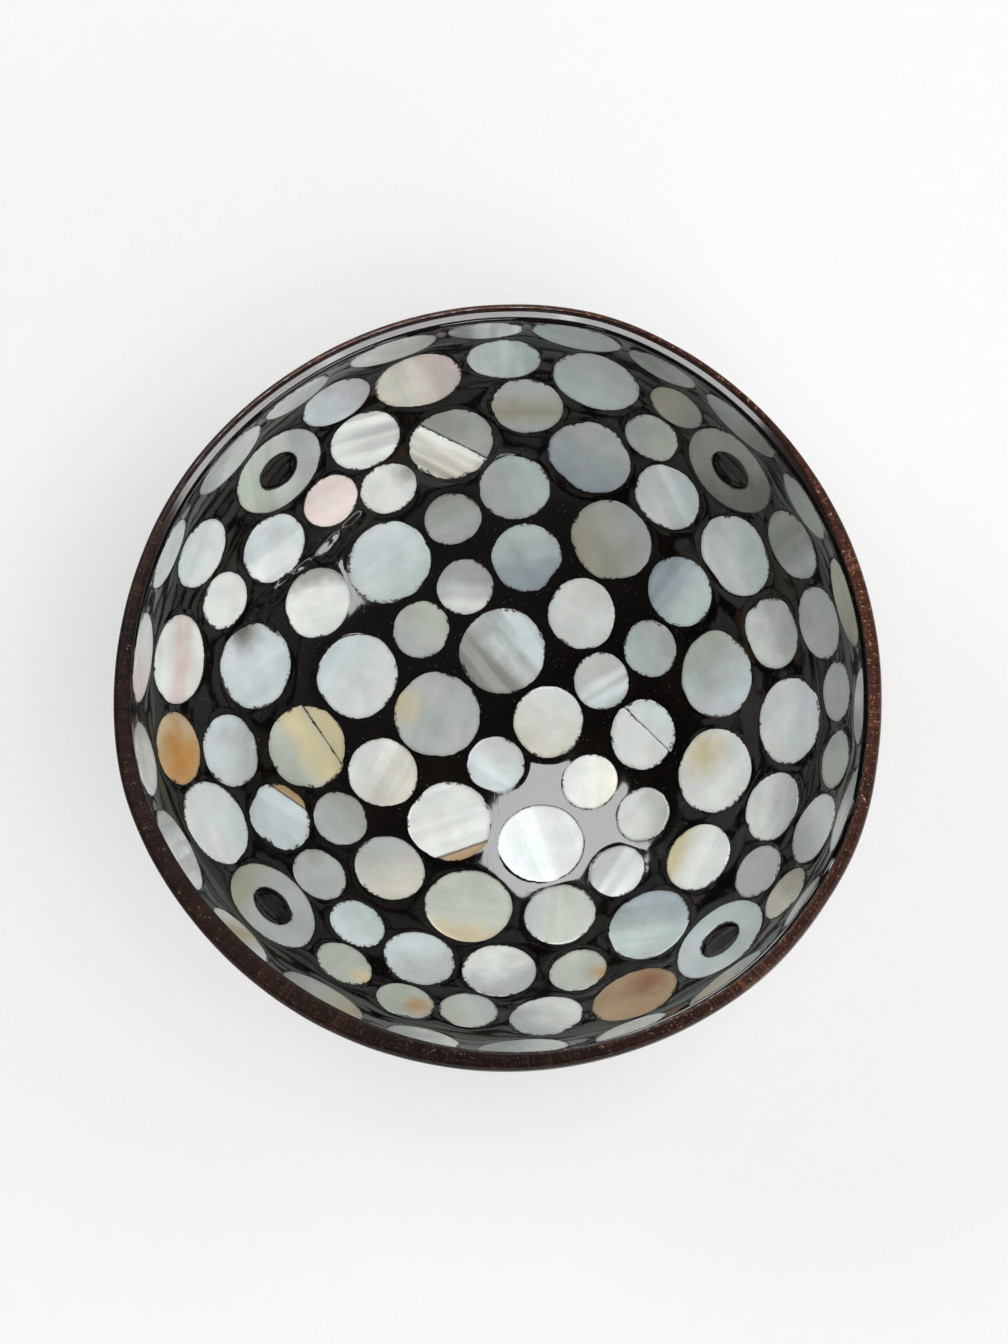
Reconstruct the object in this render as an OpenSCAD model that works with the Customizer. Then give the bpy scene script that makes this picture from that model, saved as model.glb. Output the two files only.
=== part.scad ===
// Coconut shell bowl, lined with black lacquer and inlaid with mother-of-pearl discs.
// The origin is the middle of the flat base, with +Z up through the mouth.
// Azimuth 0 is +X and 90 is +Y. A place on the inside is [azimuth, arc share], where the
// share runs along the wall from 0 at the middle of the floor to 1 at the rim plane.

/* [Coconut shell] */
// Width at the widest ring, from one ridge of the shell to the flat side facing it
bowl_w = 125; // [120:1:132]
// Height of the rim plane above the widest ring
waist = 5; // [2:0.5:6]
// Depth of the inside, from the widest ring to the lacquered floor
depth = 50; // [47:0.5:53]
// Radius of the arc that the inside follows from the rim down to the floor
side_arc_r = 38; // [35:0.5:41]
// Radius of the arc that the outside follows from the rim down to the floor
outer_arc_r = 41; // [39:0.5:44]
// Wall thickness of the shell at the widest ring
shell_t = 2.1; // [1.8:0.1:3]
// Wall thickness of the whole nut under the floor
nut_floor_t = 4.4; // [4:0.2:5]
// Thickness left under the floor once the base is sanded flat
base_t = 2.2; // [1.8:0.1:2.6]
// How far each of the three bulging sides is moved off the middle, which raises the ridges
ridge_shift = 3.3; // [2:0.1:4.5]
// Azimuth of the first of the three ridges
ridge_turn = 75; // [70:1:80]
// Radius of the rounding on the rim's outer edge
rim_round = 0.9; // [0.4:0.1:1.2]

/* [Lacquer bed] */
// Thickness of the built-up black lacquer
bed_t = 0.8; // [0.7:0.1:1.2]
// Bare shell left between the rim plane and the lacquer's top edge
bare_edge = 1.2; // [0.6:0.1:1.4]

/* [Nacre discs] */
// Thickness of the punched mother-of-pearl blanks
disc_t = 0.6; // [0.4:0.1:0.6]
// How far the discs stand above the lacquer
disc_proud = 0.15; // [0.05:0.05:0.3]
// Film of glue under and round each disc
glue_gap = 0.08; // [0.04:0.02:0.1]
// Diameter of the small blanks
small_d = 10; // [9:0.5:10]
// Diameter of the medium blanks
medium_d = 12.5; // [11:0.5:12.5]
// Diameter of the large blanks
large_d = 15; // [13.5:0.5:15]
// Diameter of the four ring blanks
ring_d = 17; // [15.5:0.5:17]
// Diameter of the hole through a ring blank
ring_hole_d = 7.4; // [5:0.2:9]
// Width of the crack through a blank that broke when it was pressed down
crack_w = 0.12; // [0.06:0.02:0.2]

/* [Hidden] */

profile_fn = 180;
disc_fn = 64;
overrun = 1;
// Reach of a disc's punch to each side of the lacquer's face
punch_reach = 3;
// How far one arc is let out past the next where they meet, for a clean crossing
arc_bulge = 0.1;
round_bulge = 0.03;

shell_tone = "#4a2a1c";
lacquer_tone = "#16130f";
pearl_tone = "#d8dcd6";
amber_tone = "#d1a266";
peach_tone = "#b79a80";
cream_tone = "#d9cfb8";

// The three sides are rounds of this radius, each moved off the middle by ridge_shift
outer_r = (bowl_w + 1.5 * ridge_shift) / 2;
inside_r = outer_r - shell_t - bed_t;
widest_z = depth + bed_t + base_t;

// Each wall profile is a side arc that crosses a flatter floor arc centred on the axis
side_x = inside_r - side_arc_r;
inside_drop = depth - side_arc_r + arc_bulge;
floor_arc_r = depth + (side_x * side_x - inside_drop * inside_drop) / (2 * inside_drop);
floor_z = floor_arc_r - depth;

outer_x = outer_r - outer_arc_r;
nut_depth = depth + bed_t + nut_floor_t;
outer_drop = nut_depth - outer_arc_r + arc_bulge;
outer_floor_r = nut_depth + (outer_x * outer_x - outer_drop * outer_drop) / (2 * outer_drop);
outer_floor_z = outer_floor_r - nut_depth;

// Rounding of the rim's outer edge
round_z = waist - rim_round;
round_x = outer_x + sqrt(outer_arc_r * outer_arc_r - round_z * round_z) - rim_round;

// Lengths along the inside profile, for the places of the discs
degree = PI / 180;
join_angle = atan2(side_x, floor_z);
floor_len = floor_arc_r * join_angle * degree;
arc_len = floor_len + side_arc_r * (90 - join_angle + asin(waist / side_arc_r)) * degree;

// Places of the discs, as [azimuth, arc share]
ring_shares = [[45, 0.714], [135, 0.722], [222, 0.69], [311.5, 0.714]];
floor_large_shares = [[99, 0.106], [188, 0.143]];
floor_medium_shares = [[335, 0.082]];
floor_small_shares = [[256.5, 0.123], [14, 0.188]];
low_large_shares = [[282.5, 0.29], [243.5, 0.268], [169.5, 0.31]];
low_medium_shares = [[51, 0.229], [209, 0.286], [83.5, 0.288]];
low_small_shares = [[111, 0.25], [140, 0.231], [315.5, 0.216], [21, 0.304], [320, 0.345]];
middle_large_shares = [[130.5, 0.378], [57, 0.387], [7.5, 0.435], [341.5, 0.448], [259, 0.432]];
middle_medium_shares = [[32.5, 0.42], [283.5, 0.453], [234.5, 0.42], [152.5, 0.445], [88.5, 0.435]];
middle_small_shares = [[107, 0.39], [302.5, 0.405], [215, 0.415]];
high_large_shares = [[71, 0.528], [32, 0.579], [355.5, 0.615], [302, 0.558], [172, 0.533]];
high_medium_shares = [
    [51.5, 0.543], [14, 0.587], [338, 0.613], [320.5, 0.507], [268.5, 0.582], [251.5, 0.588],
    [207.5, 0.53], [190.5, 0.588], [147, 0.597], [118.5, 0.641], [86, 0.625]
];
high_small_shares = [
    [325.3, 0.656], [284.7, 0.6], [236.5, 0.574], [223, 0.537], [160.8, 0.646], [131.5, 0.568],
    [119.2, 0.512], [60.5, 0.64]
];
shoulder_large_shares = [[73.7, 0.724], [203.5, 0.687], [173.5, 0.735], [105.2, 0.741]];
shoulder_medium_shares = [
    [27.5, 0.735], [336.7, 0.755], [277.5, 0.724], [154.8, 0.763], [90, 0.762], [13, 0.731],
    [119.7, 0.784]
];
shoulder_small_shares = [
    [0.5, 0.76], [349, 0.77], [324.8, 0.775], [263.5, 0.704], [252, 0.718], [239, 0.688], [59, 0.755]
];
rim_large_shares = [
    [14.5, 0.885], [48, 0.892], [78, 0.892], [107.5, 0.908], [139.5, 0.9], [174.5, 0.903],
    [206, 0.868], [239.5, 0.86], [273.5, 0.883], [308, 0.9], [341, 0.905]
];
rim_medium_shares = [
    [31.5, 0.876], [63.5, 0.883], [92.5, 0.907], [124.7, 0.912], [157.5, 0.905], [190.5, 0.88],
    [223, 0.87], [257, 0.865], [291, 0.885], [357.5, 0.9]
];
rim_small_shares = [[325, 0.9]];
amber_share = [189, 0.731];
peach_share = [293.5, 0.728];
split_share = [102.5, 0.554];
cream_share = [192.5, 0.413];
cracked_share = [347, 0.273];

// Cracks, as the turn of the crack in the disc and its offset as a share of the disc's diameter
split_turn = 224;
split_crack_share = 0.05;
cream_turn = 115;
cream_crack_share = 0.24;
cracked_turn = 330;
cracked_crack_share = 0.08;

// Where the wall is at a length along its inside profile: its radius, height and slope
function past_join(run) = join_angle + (run - floor_len) / side_arc_r / degree;
function slope_at(run) = run < floor_len ? run / floor_arc_r / degree : past_join(run);
function radius_at(run) = run < floor_len ? floor_arc_r * sin(slope_at(run))
    : side_x + side_arc_r * sin(slope_at(run));
function height_at(run) = run < floor_len ? floor_z - floor_arc_r * cos(slope_at(run))
    : -side_arc_r * cos(slope_at(run));
// How far the lobed wall stands from a round one, as a share of the radius
function lobe_share(azimuth) = ridge_shift / inside_r
    * min([for (side = [0:2]) cos(azimuth - ridge_turn - 120 * side)]);

module profile(arc_r, arc_x, floor_r, centre_z, top_z) {
    reach = 4 * outer_r;
    join = atan2(arc_x, centre_z);
    intersection() {
        translate([0, centre_z]) circle(r = floor_r, $fn = profile_fn);
        union() {
            translate([arc_x, 0]) circle(r = arc_r, $fn = profile_fn);
            polygon([[0, centre_z], [reach * sin(join), centre_z - reach * cos(join)], [0, -reach]]);
        }
        translate([0, -reach]) square([reach, reach + top_z]);
    }
}

module lobed() {
    intersection_for (side = [0:2])
        rotate([0, 0, ridge_turn + 120 * side]) translate([ridge_shift, 0, 0]) children();
}

// The space inside a face that lies `out` behind the lacquer's face
module hollow(out, top_z = waist + overrun) {
    translate([0, 0, widest_z]) lobed() rotate_extrude($fn = profile_fn)
        profile(side_arc_r + out, side_x, floor_arc_r + out, floor_z, top_z);
}

module rounded_outside() {
    difference() {
        profile(outer_arc_r, outer_x, outer_floor_r, outer_floor_z, waist);
        difference() {
            translate([round_x, round_z]) square(rim_round + overrun);
            translate([round_x, round_z]) circle(r = rim_round + round_bulge, $fn = disc_fn);
        }
    }
}

module nut() {
    translate([0, 0, widest_z]) lobed() rotate_extrude($fn = profile_fn) rounded_outside();
}

module on_wall(place) {
    run = place[1] * arc_len;
    rotate([0, 0, place[0]])
        translate([radius_at(run) * (1 + lobe_share(place[0])), 0, widest_z + height_at(run)])
            rotate([0, -slope_at(run), 0]) children();
}

module punch(d) {
    translate([0, 0, -punch_reach]) cylinder(h = 2 * punch_reach, d = d, $fn = disc_fn);
}

module ring_punch(d, hole_d) {
    difference() {
        punch(d);
        translate([0, 0, -punch_reach - overrun])
            cylinder(h = 2 * (punch_reach + overrun), d = hole_d, $fn = disc_fn);
    }
}

module disc_layer() {
    difference() {
        hollow(disc_t - disc_proud, waist);
        hollow(-disc_proud);
    }
}

module discs(places, d, tone = pearl_tone) {
    color(tone) intersection() {
        disc_layer();
        for (place = places) on_wall(place) punch(d);
    }
}

// One side of a broken disc, where side is 1 or -1
module broken(place, d, turn, crack_share, side, tone) {
    color(tone) intersection() {
        disc_layer();
        on_wall(place) intersection() {
            punch(d);
            rotate([0, 0, turn]) translate([-d, crack_share * d + side * (d + crack_w) / 2, 0])
                translate([0, -d / 2, -punch_reach]) cube([2 * d, d, 2 * punch_reach]);
        }
    }
}

module pockets(places, d) {
    for (place = places) on_wall(place) punch(d + 2 * glue_gap);
}

module all_pockets() {
    pockets(floor_large_shares, large_d);
    pockets(floor_medium_shares, medium_d);
    pockets(floor_small_shares, small_d);
    pockets(low_large_shares, large_d);
    pockets(low_medium_shares, medium_d);
    pockets(low_small_shares, small_d);
    pockets(middle_large_shares, large_d);
    pockets(middle_medium_shares, medium_d);
    pockets(middle_small_shares, small_d);
    pockets(high_large_shares, large_d);
    pockets(high_medium_shares, medium_d);
    pockets(high_small_shares, small_d);
    pockets(shoulder_large_shares, large_d);
    pockets(shoulder_medium_shares, medium_d);
    pockets(shoulder_small_shares, small_d);
    pockets(rim_large_shares, large_d);
    pockets(rim_medium_shares, medium_d);
    pockets(rim_small_shares, small_d);
    pockets([amber_share, cracked_share], medium_d);
    pockets([peach_share, split_share, cream_share], large_d);
    for (place = ring_shares)
        on_wall(place) ring_punch(ring_d + 2 * glue_gap, ring_hole_d - 2 * glue_gap);
}

module coconut_shell() {
    color(shell_tone) difference() {
        nut();
        hollow(bed_t);
        translate([-outer_r, -outer_r, -outer_r]) cube([2 * outer_r, 2 * outer_r, outer_r]);
    }
}

module lacquer_bed() {
    color(lacquer_tone) difference() {
        hollow(bed_t, waist - bare_edge);
        hollow(0);
        intersection() {
            hollow(disc_t - disc_proud + glue_gap, waist);
            all_pockets();
        }
    }
}

module ring_discs() {
    color(pearl_tone) intersection() {
        disc_layer();
        for (place = ring_shares) on_wall(place) ring_punch(ring_d, ring_hole_d);
    }
}

module floor_large_discs() discs(floor_large_shares, large_d);
module floor_medium_disc() discs(floor_medium_shares, medium_d);
module floor_small_discs() discs(floor_small_shares, small_d);
module low_large_discs() discs(low_large_shares, large_d);
module low_medium_discs() discs(low_medium_shares, medium_d);
module low_small_discs() discs(low_small_shares, small_d);
module middle_large_discs() discs(middle_large_shares, large_d);
module middle_medium_discs() discs(middle_medium_shares, medium_d);
module middle_small_discs() discs(middle_small_shares, small_d);
module high_large_discs() discs(high_large_shares, large_d);
module high_medium_discs() discs(high_medium_shares, medium_d);
module high_small_discs() discs(high_small_shares, small_d);
module shoulder_large_discs() discs(shoulder_large_shares, large_d);
module shoulder_medium_discs() discs(shoulder_medium_shares, medium_d);
module shoulder_small_discs() discs(shoulder_small_shares, small_d);
module rim_large_discs() discs(rim_large_shares, large_d);
module rim_medium_discs() discs(rim_medium_shares, medium_d);
module rim_small_disc() discs(rim_small_shares, small_d);
module amber_disc() discs([amber_share], medium_d, amber_tone);
module peach_disc() discs([peach_share], large_d, peach_tone);

module split_disc_bright_half() broken(split_share, large_d, split_turn, split_crack_share, -1, pearl_tone);
module split_disc_grey_half() broken(split_share, large_d, split_turn, split_crack_share, 1, pearl_tone);
module cream_disc_body() broken(cream_share, large_d, cream_turn, cream_crack_share, -1, cream_tone);
module cream_disc_strip() broken(cream_share, large_d, cream_turn, cream_crack_share, 1, cream_tone);
module cracked_disc_left() broken(cracked_share, medium_d, cracked_turn, cracked_crack_share, -1, pearl_tone);
module cracked_disc_right() broken(cracked_share, medium_d, cracked_turn, cracked_crack_share, 1, pearl_tone);

coconut_shell();
lacquer_bed();
ring_discs();
floor_large_discs();
floor_medium_disc();
floor_small_discs();
low_large_discs();
low_medium_discs();
low_small_discs();
middle_large_discs();
middle_medium_discs();
middle_small_discs();
high_large_discs();
high_medium_discs();
high_small_discs();
shoulder_large_discs();
shoulder_medium_discs();
shoulder_small_discs();
rim_large_discs();
rim_medium_discs();
rim_small_disc();
amber_disc();
peach_disc();
split_disc_bright_half();
split_disc_grey_half();
cream_disc_body();
cream_disc_strip();
cracked_disc_left();
cracked_disc_right();
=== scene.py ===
"""Looks of a coconut shell bowl, lined with black lacquer and inlaid with mother-of-pearl discs.

Lengths are in metres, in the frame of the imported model: the origin is the middle of the flat base,
+Z is up through the mouth, azimuth 0 is +X and azimuth 90 is +Y. A place on the inside of the bowl
is an azimuth and a share of the way along the wall, from the middle of the floor to the rim plane.
"""
from __future__ import annotations

import logging
import math
from dataclasses import dataclass, field
from enum import Enum
from typing import Protocol

import bpy
import numpy as np
from mathutils import Matrix, Vector

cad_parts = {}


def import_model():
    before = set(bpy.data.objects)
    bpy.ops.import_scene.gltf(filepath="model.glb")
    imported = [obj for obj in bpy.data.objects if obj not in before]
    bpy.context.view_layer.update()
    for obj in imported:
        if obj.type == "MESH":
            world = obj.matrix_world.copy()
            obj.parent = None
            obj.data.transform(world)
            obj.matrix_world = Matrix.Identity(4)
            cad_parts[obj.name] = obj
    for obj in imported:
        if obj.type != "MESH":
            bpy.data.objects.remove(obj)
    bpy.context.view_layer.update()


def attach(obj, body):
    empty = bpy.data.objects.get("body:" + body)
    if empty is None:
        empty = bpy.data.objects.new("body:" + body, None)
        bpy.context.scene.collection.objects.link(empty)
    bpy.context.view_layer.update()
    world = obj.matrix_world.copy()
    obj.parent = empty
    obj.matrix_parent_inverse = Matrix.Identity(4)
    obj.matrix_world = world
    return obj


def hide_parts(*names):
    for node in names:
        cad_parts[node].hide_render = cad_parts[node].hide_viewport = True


LOG = logging.getLogger("coconut_bowl")
MM = 0.001
# Steps that find a face: halvings of a line from inside the bowl, and moves along a seat's normal
HALVINGS = 34
SEAT_STEPS = 8
Points = np.ndarray
Faces = list[tuple[int, ...]]
Socket = bpy.types.NodeSocket


def linear(tone: str) -> tuple[float, float, float, float]:
    """Turns a written screen colour into the linear one that a shader takes.

    Args:
        tone: The colour as a hash sign and six digits.

    Returns:
        Red, green, blue and alpha.
    """
    parts = [int(tone[at:at + 2], 16) / 255 for at in (1, 3, 5)]
    red, green, blue = (part / 12.92 if part < 0.04045 else ((part + 0.055) / 1.055) ** 2.4 for part in parts)
    return red, green, blue, 1.0


def ripple(points: Points, length: float, seed: int, waves: int = 7) -> Points:
    """A smooth uneven field between about -1 and 1, the same on every run.

    Args:
        points: Points in metres, with the three coordinates last.
        length: Typical length of a wave, in metres.
        seed: Number that picks the pattern.
        waves: How many plane waves are summed.

    Returns:
        One value for each point.
    """
    shortest, longest, usual_peak = 0.6, 1.5, 1.3
    rng = np.random.default_rng(seed)
    ways = rng.normal(size=(waves, 3))
    ways /= np.linalg.norm(ways, axis=1, keepdims=True)
    pitch = 2 * math.pi / (length * rng.uniform(shortest, longest, waves))
    start = rng.uniform(0, 2 * math.pi, waves)
    total = sum(np.sin(points @ way * number + at) for way, number, at in zip(ways, pitch, start))
    return total / math.sqrt(waves) / usual_peak


def soft_step(low: float, high: float, value: Points) -> Points:
    """Rises smoothly from 0 at low to 1 at high."""
    share = np.clip((value - low) / (high - low), 0, 1)
    return share * share * (3 - 2 * share)


def hump(turns: Points, azimuth: float, reach: float, height: float) -> Points:
    """A smooth hump of that height round one azimuth, with all angles in degrees."""
    away = (turns - azimuth + 180) % 360 - 180
    return height * np.exp(-(away / reach) ** 2)


def full_turn(count: int) -> Points:
    """Angles in radians, evenly spaced once round."""
    return np.arange(count) * 2 * math.pi / count


def level_ways(turns: Points) -> Points:
    """Level unit directions at azimuths in radians."""
    return np.stack([np.cos(turns), np.sin(turns), np.zeros_like(turns)], axis=-1)


def flat_loop(turns: Points, reach: Points) -> Points:
    """A loop in its own plane, from angles in radians and distances from its middle."""
    return np.stack([reach * np.cos(turns), reach * np.sin(turns)], axis=-1)


@dataclass(frozen=True)
class WallArcs:
    """A wall's profile: a side arc that crosses a flatter floor arc centred on the axis."""

    arc_r: float
    arc_x: float
    floor_r: float
    floor_z: float

    def distance(self, radius: Points, height: Points) -> Points:
        """How far points lie outside the profile.

        Args:
            radius: Distances from the axis.
            height: Heights over the widest ring.

        Returns:
            The distances, below zero inside the profile.
        """
        on_side = np.arctan2(radius, self.floor_z - height) > math.atan2(self.arc_x, self.floor_z)
        side = np.hypot(radius - self.arc_x, height) - self.arc_r
        return np.where(on_side, side, np.hypot(radius, height - self.floor_z) - self.floor_r)


@dataclass(frozen=True)
class BowlForm:
    """The bowl's faces, from the same named sizes as its construction.

    Each swell of the grown shell is an azimuth and a reach in degrees, and a height. They rise between
    the two heights of swell_rise. ridge_blend rounds the three ridges where the sides meet.
    """

    bowl_w: float = 125 * MM
    waist: float = 5 * MM
    depth: float = 50 * MM
    side_arc_r: float = 38 * MM
    outer_arc_r: float = 41 * MM
    shell_t: float = 2.1 * MM
    nut_floor_t: float = 4.4 * MM
    base_t: float = 2.2 * MM
    ridge_shift: float = 3.3 * MM
    ridge_turn: float = 75
    rim_round: float = 0.9 * MM
    bed_t: float = 0.8 * MM
    bare_edge: float = 1.2 * MM
    disc_t: float = 0.6 * MM
    disc_proud: float = 0.15 * MM
    ring_hole: float = 7.4 * MM
    arc_bulge: float = 0.1 * MM
    ridge_blend: float = 0.2 * MM
    swells: tuple[tuple[float, float, float], ...] = ((146, 20, 0.4 * MM), (337, 12, 0.7 * MM))
    swell_rise: tuple[float, float] = (12 * MM, 46 * MM)

    @property
    def outer_r(self) -> float:
        """Radius of each of the three bulging sides."""
        return (self.bowl_w + 1.5 * self.ridge_shift) / 2

    @property
    def inside_r(self) -> float:
        """Radius of the lacquer's face in each side."""
        return self.outer_r - self.shell_t - self.bed_t

    @property
    def widest_z(self) -> float:
        """Height of the widest ring over the base."""
        return self.depth + self.bed_t + self.base_t

    @property
    def rim_z(self) -> float:
        """Height of the rim plane."""
        return self.widest_z + self.waist

    @property
    def lacquer_top_z(self) -> float:
        """Height of the lacquer's top edge."""
        return self.rim_z - self.bare_edge

    @property
    def side_turns(self) -> list[float]:
        """The ways that the three bulging sides are moved off the middle, in radians."""
        return [math.radians(self.ridge_turn + 120 * side) for side in range(3)]

    @staticmethod
    def _arcs(arc_r: float, arc_x: float, drop: float, bulge: float) -> WallArcs:
        """The profile whose floor arc goes as deep as drop and crosses the side arc.

        Args:
            arc_r: Radius of the side arc.
            arc_x: Distance of the side arc's centre from the axis.
            drop: Depth of the floor arc under the widest ring.
            bulge: How far the floor arc is let out past the side arc where they meet.

        Returns:
            The profile.
        """
        rise = drop - arc_r + bulge
        floor_r = drop + (arc_x * arc_x - rise * rise) / (2 * rise)
        return WallArcs(arc_r, arc_x, floor_r, floor_r - drop)

    @property
    def inside(self) -> WallArcs:
        """The profile of the lacquer's face."""
        return self._arcs(self.side_arc_r, self.inside_r - self.side_arc_r, self.depth, self.arc_bulge)

    @property
    def outside(self) -> WallArcs:
        """The profile of the shell's outer face."""
        drop = self.depth + self.bed_t + self.nut_floor_t
        return self._arcs(self.outer_arc_r, self.outer_r - self.outer_arc_r, drop, self.arc_bulge)

    def wall(self, points: Points, arcs: WallArcs) -> Points:
        """How far points lie outside the lobed wall with that profile.

        Args:
            points: Points in metres.
            arcs: The wall's profile.

        Returns:
            The distances, below zero in the space that the wall goes round.
        """
        height = points[..., 2] - self.widest_z
        gaps = np.array([
            arcs.distance(
                np.hypot(points[..., 0] - self.ridge_shift * math.cos(turn),
                         points[..., 1] - self.ridge_shift * math.sin(turn)),
                height,
            )
            for turn in self.side_turns
        ])
        most = gaps.max(axis=0)
        lobed = most + self.ridge_blend * np.log(np.exp((gaps - most) / self.ridge_blend).sum(axis=0))
        return lobed - self._swell(points)

    def _swell(self, points: Points) -> Points:
        """How far the grown shell swells past its three even sides.

        Args:
            points: Points in metres.

        Returns:
            The swell at each point.
        """
        turns = np.degrees(np.arctan2(points[..., 1], points[..., 0]))
        swell = np.zeros(points.shape[:-1])
        for azimuth, reach, height in self.swells:
            swell += hump(turns, azimuth, reach, height)
        return swell * soft_step(*self.swell_rise, points[..., 2])

    def hits(self, start: Points, way: Points, arcs: WallArcs, out: float = 0.0) -> Points:
        """Where straight lines from inside the bowl meet a face.

        Args:
            start: The point that the lines start at, or one for each line.
            way: Unit directions of the lines.
            arcs: The face's profile.
            out: How far the face lies outside that profile.

        Returns:
            The points on the face.
        """
        low = np.zeros(way.shape[:-1])
        high = np.full(way.shape[:-1], self.bowl_w)
        for _ in range(HALVINGS):
            middle = (low + high) / 2
            beyond = self.wall(start + way * middle[..., None], arcs) > out
            high = np.where(beyond, middle, high)
            low = np.where(beyond, low, middle)
        return start + way * low[..., None]

    def rays(self, azimuths: Points, tilts: Points, arcs: WallArcs, out: float = 0.0) -> Points:
        """Loops round the bowl, one for each tilt of a ray up from straight down.

        Args:
            azimuths: Azimuths in radians.
            tilts: Angles up from straight down, in radians, seen from the middle of the widest ring.
            arcs: The face's profile.
            out: How far the face lies outside that profile.

        Returns:
            Points by loop and azimuth.
        """
        tilt, azimuth = np.meshgrid(tilts, azimuths, indexing="ij")
        reach = np.sin(tilt)
        way = np.stack([reach * np.cos(azimuth), reach * np.sin(azimuth), -np.cos(tilt)], axis=-1)
        return self.hits(np.array([0, 0, self.widest_z]), way, arcs, out)

    def level(self, azimuths: Points, height: float, arcs: WallArcs, out: float = 0.0) -> Points:
        """One level loop on a face.

        Args:
            azimuths: Azimuths in radians.
            height: Height of the loop over the base.
            arcs: The face's profile.
            out: How far the face lies outside that profile.

        Returns:
            Points by azimuth.
        """
        return self.hits(np.array([0, 0, height]), level_ways(azimuths), arcs, out)

    def on_wall(self, azimuth: float, share: float) -> tuple[Points, Points]:
        """A disc's seat on the lacquer's face.

        Args:
            azimuth: Azimuth in degrees.
            share: Share of the way from the middle of the floor to the rim plane.

        Returns:
            The seat's middle, and its axes as rows: up the wall, round the wall and out of it.
        """
        arcs = self.inside
        join = math.atan2(arcs.arc_x, arcs.floor_z)
        floor_len = arcs.floor_r * join
        rise = math.radians(90) - join + math.asin(self.waist / arcs.arc_r)
        run = share * (floor_len + arcs.arc_r * rise)
        if run > floor_len:
            slope = join + (run - floor_len) / arcs.arc_r
            radius = arcs.arc_x + arcs.arc_r * math.sin(slope)
            height = -arcs.arc_r * math.cos(slope)
        else:
            slope = run / arcs.floor_r
            radius = arcs.floor_r * math.sin(slope)
            height = arcs.floor_z - arcs.floor_r * math.cos(slope)
        turn = math.radians(azimuth)
        lobe = min(math.cos(turn - side_turn) for side_turn in self.side_turns)
        radius *= 1 + self.ridge_shift / self.inside_r * lobe
        middle = np.array([radius * math.cos(turn), radius * math.sin(turn), self.widest_z + height])
        up = np.array([math.cos(slope) * math.cos(turn), math.cos(slope) * math.sin(turn), math.sin(slope)])
        across = np.array([-math.sin(turn), math.cos(turn), 0.0])
        return middle, np.stack([up, across, np.cross(up, across)])

    def seated(self, points: Points, normal: Points, out: Points | float) -> Points:
        """Moves points along a seat's normal until they lie on a face.

        Args:
            points: Points near the lacquer's face.
            normal: The way out of the wall.
            out: How far behind the lacquer's face each point goes.

        Returns:
            The moved points.
        """
        lift = np.zeros(points.shape[:-1])
        for _ in range(SEAT_STEPS):
            lift += self.wall(points + normal * lift[..., None], self.inside) - out
        return points + normal * lift[..., None]


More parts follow.
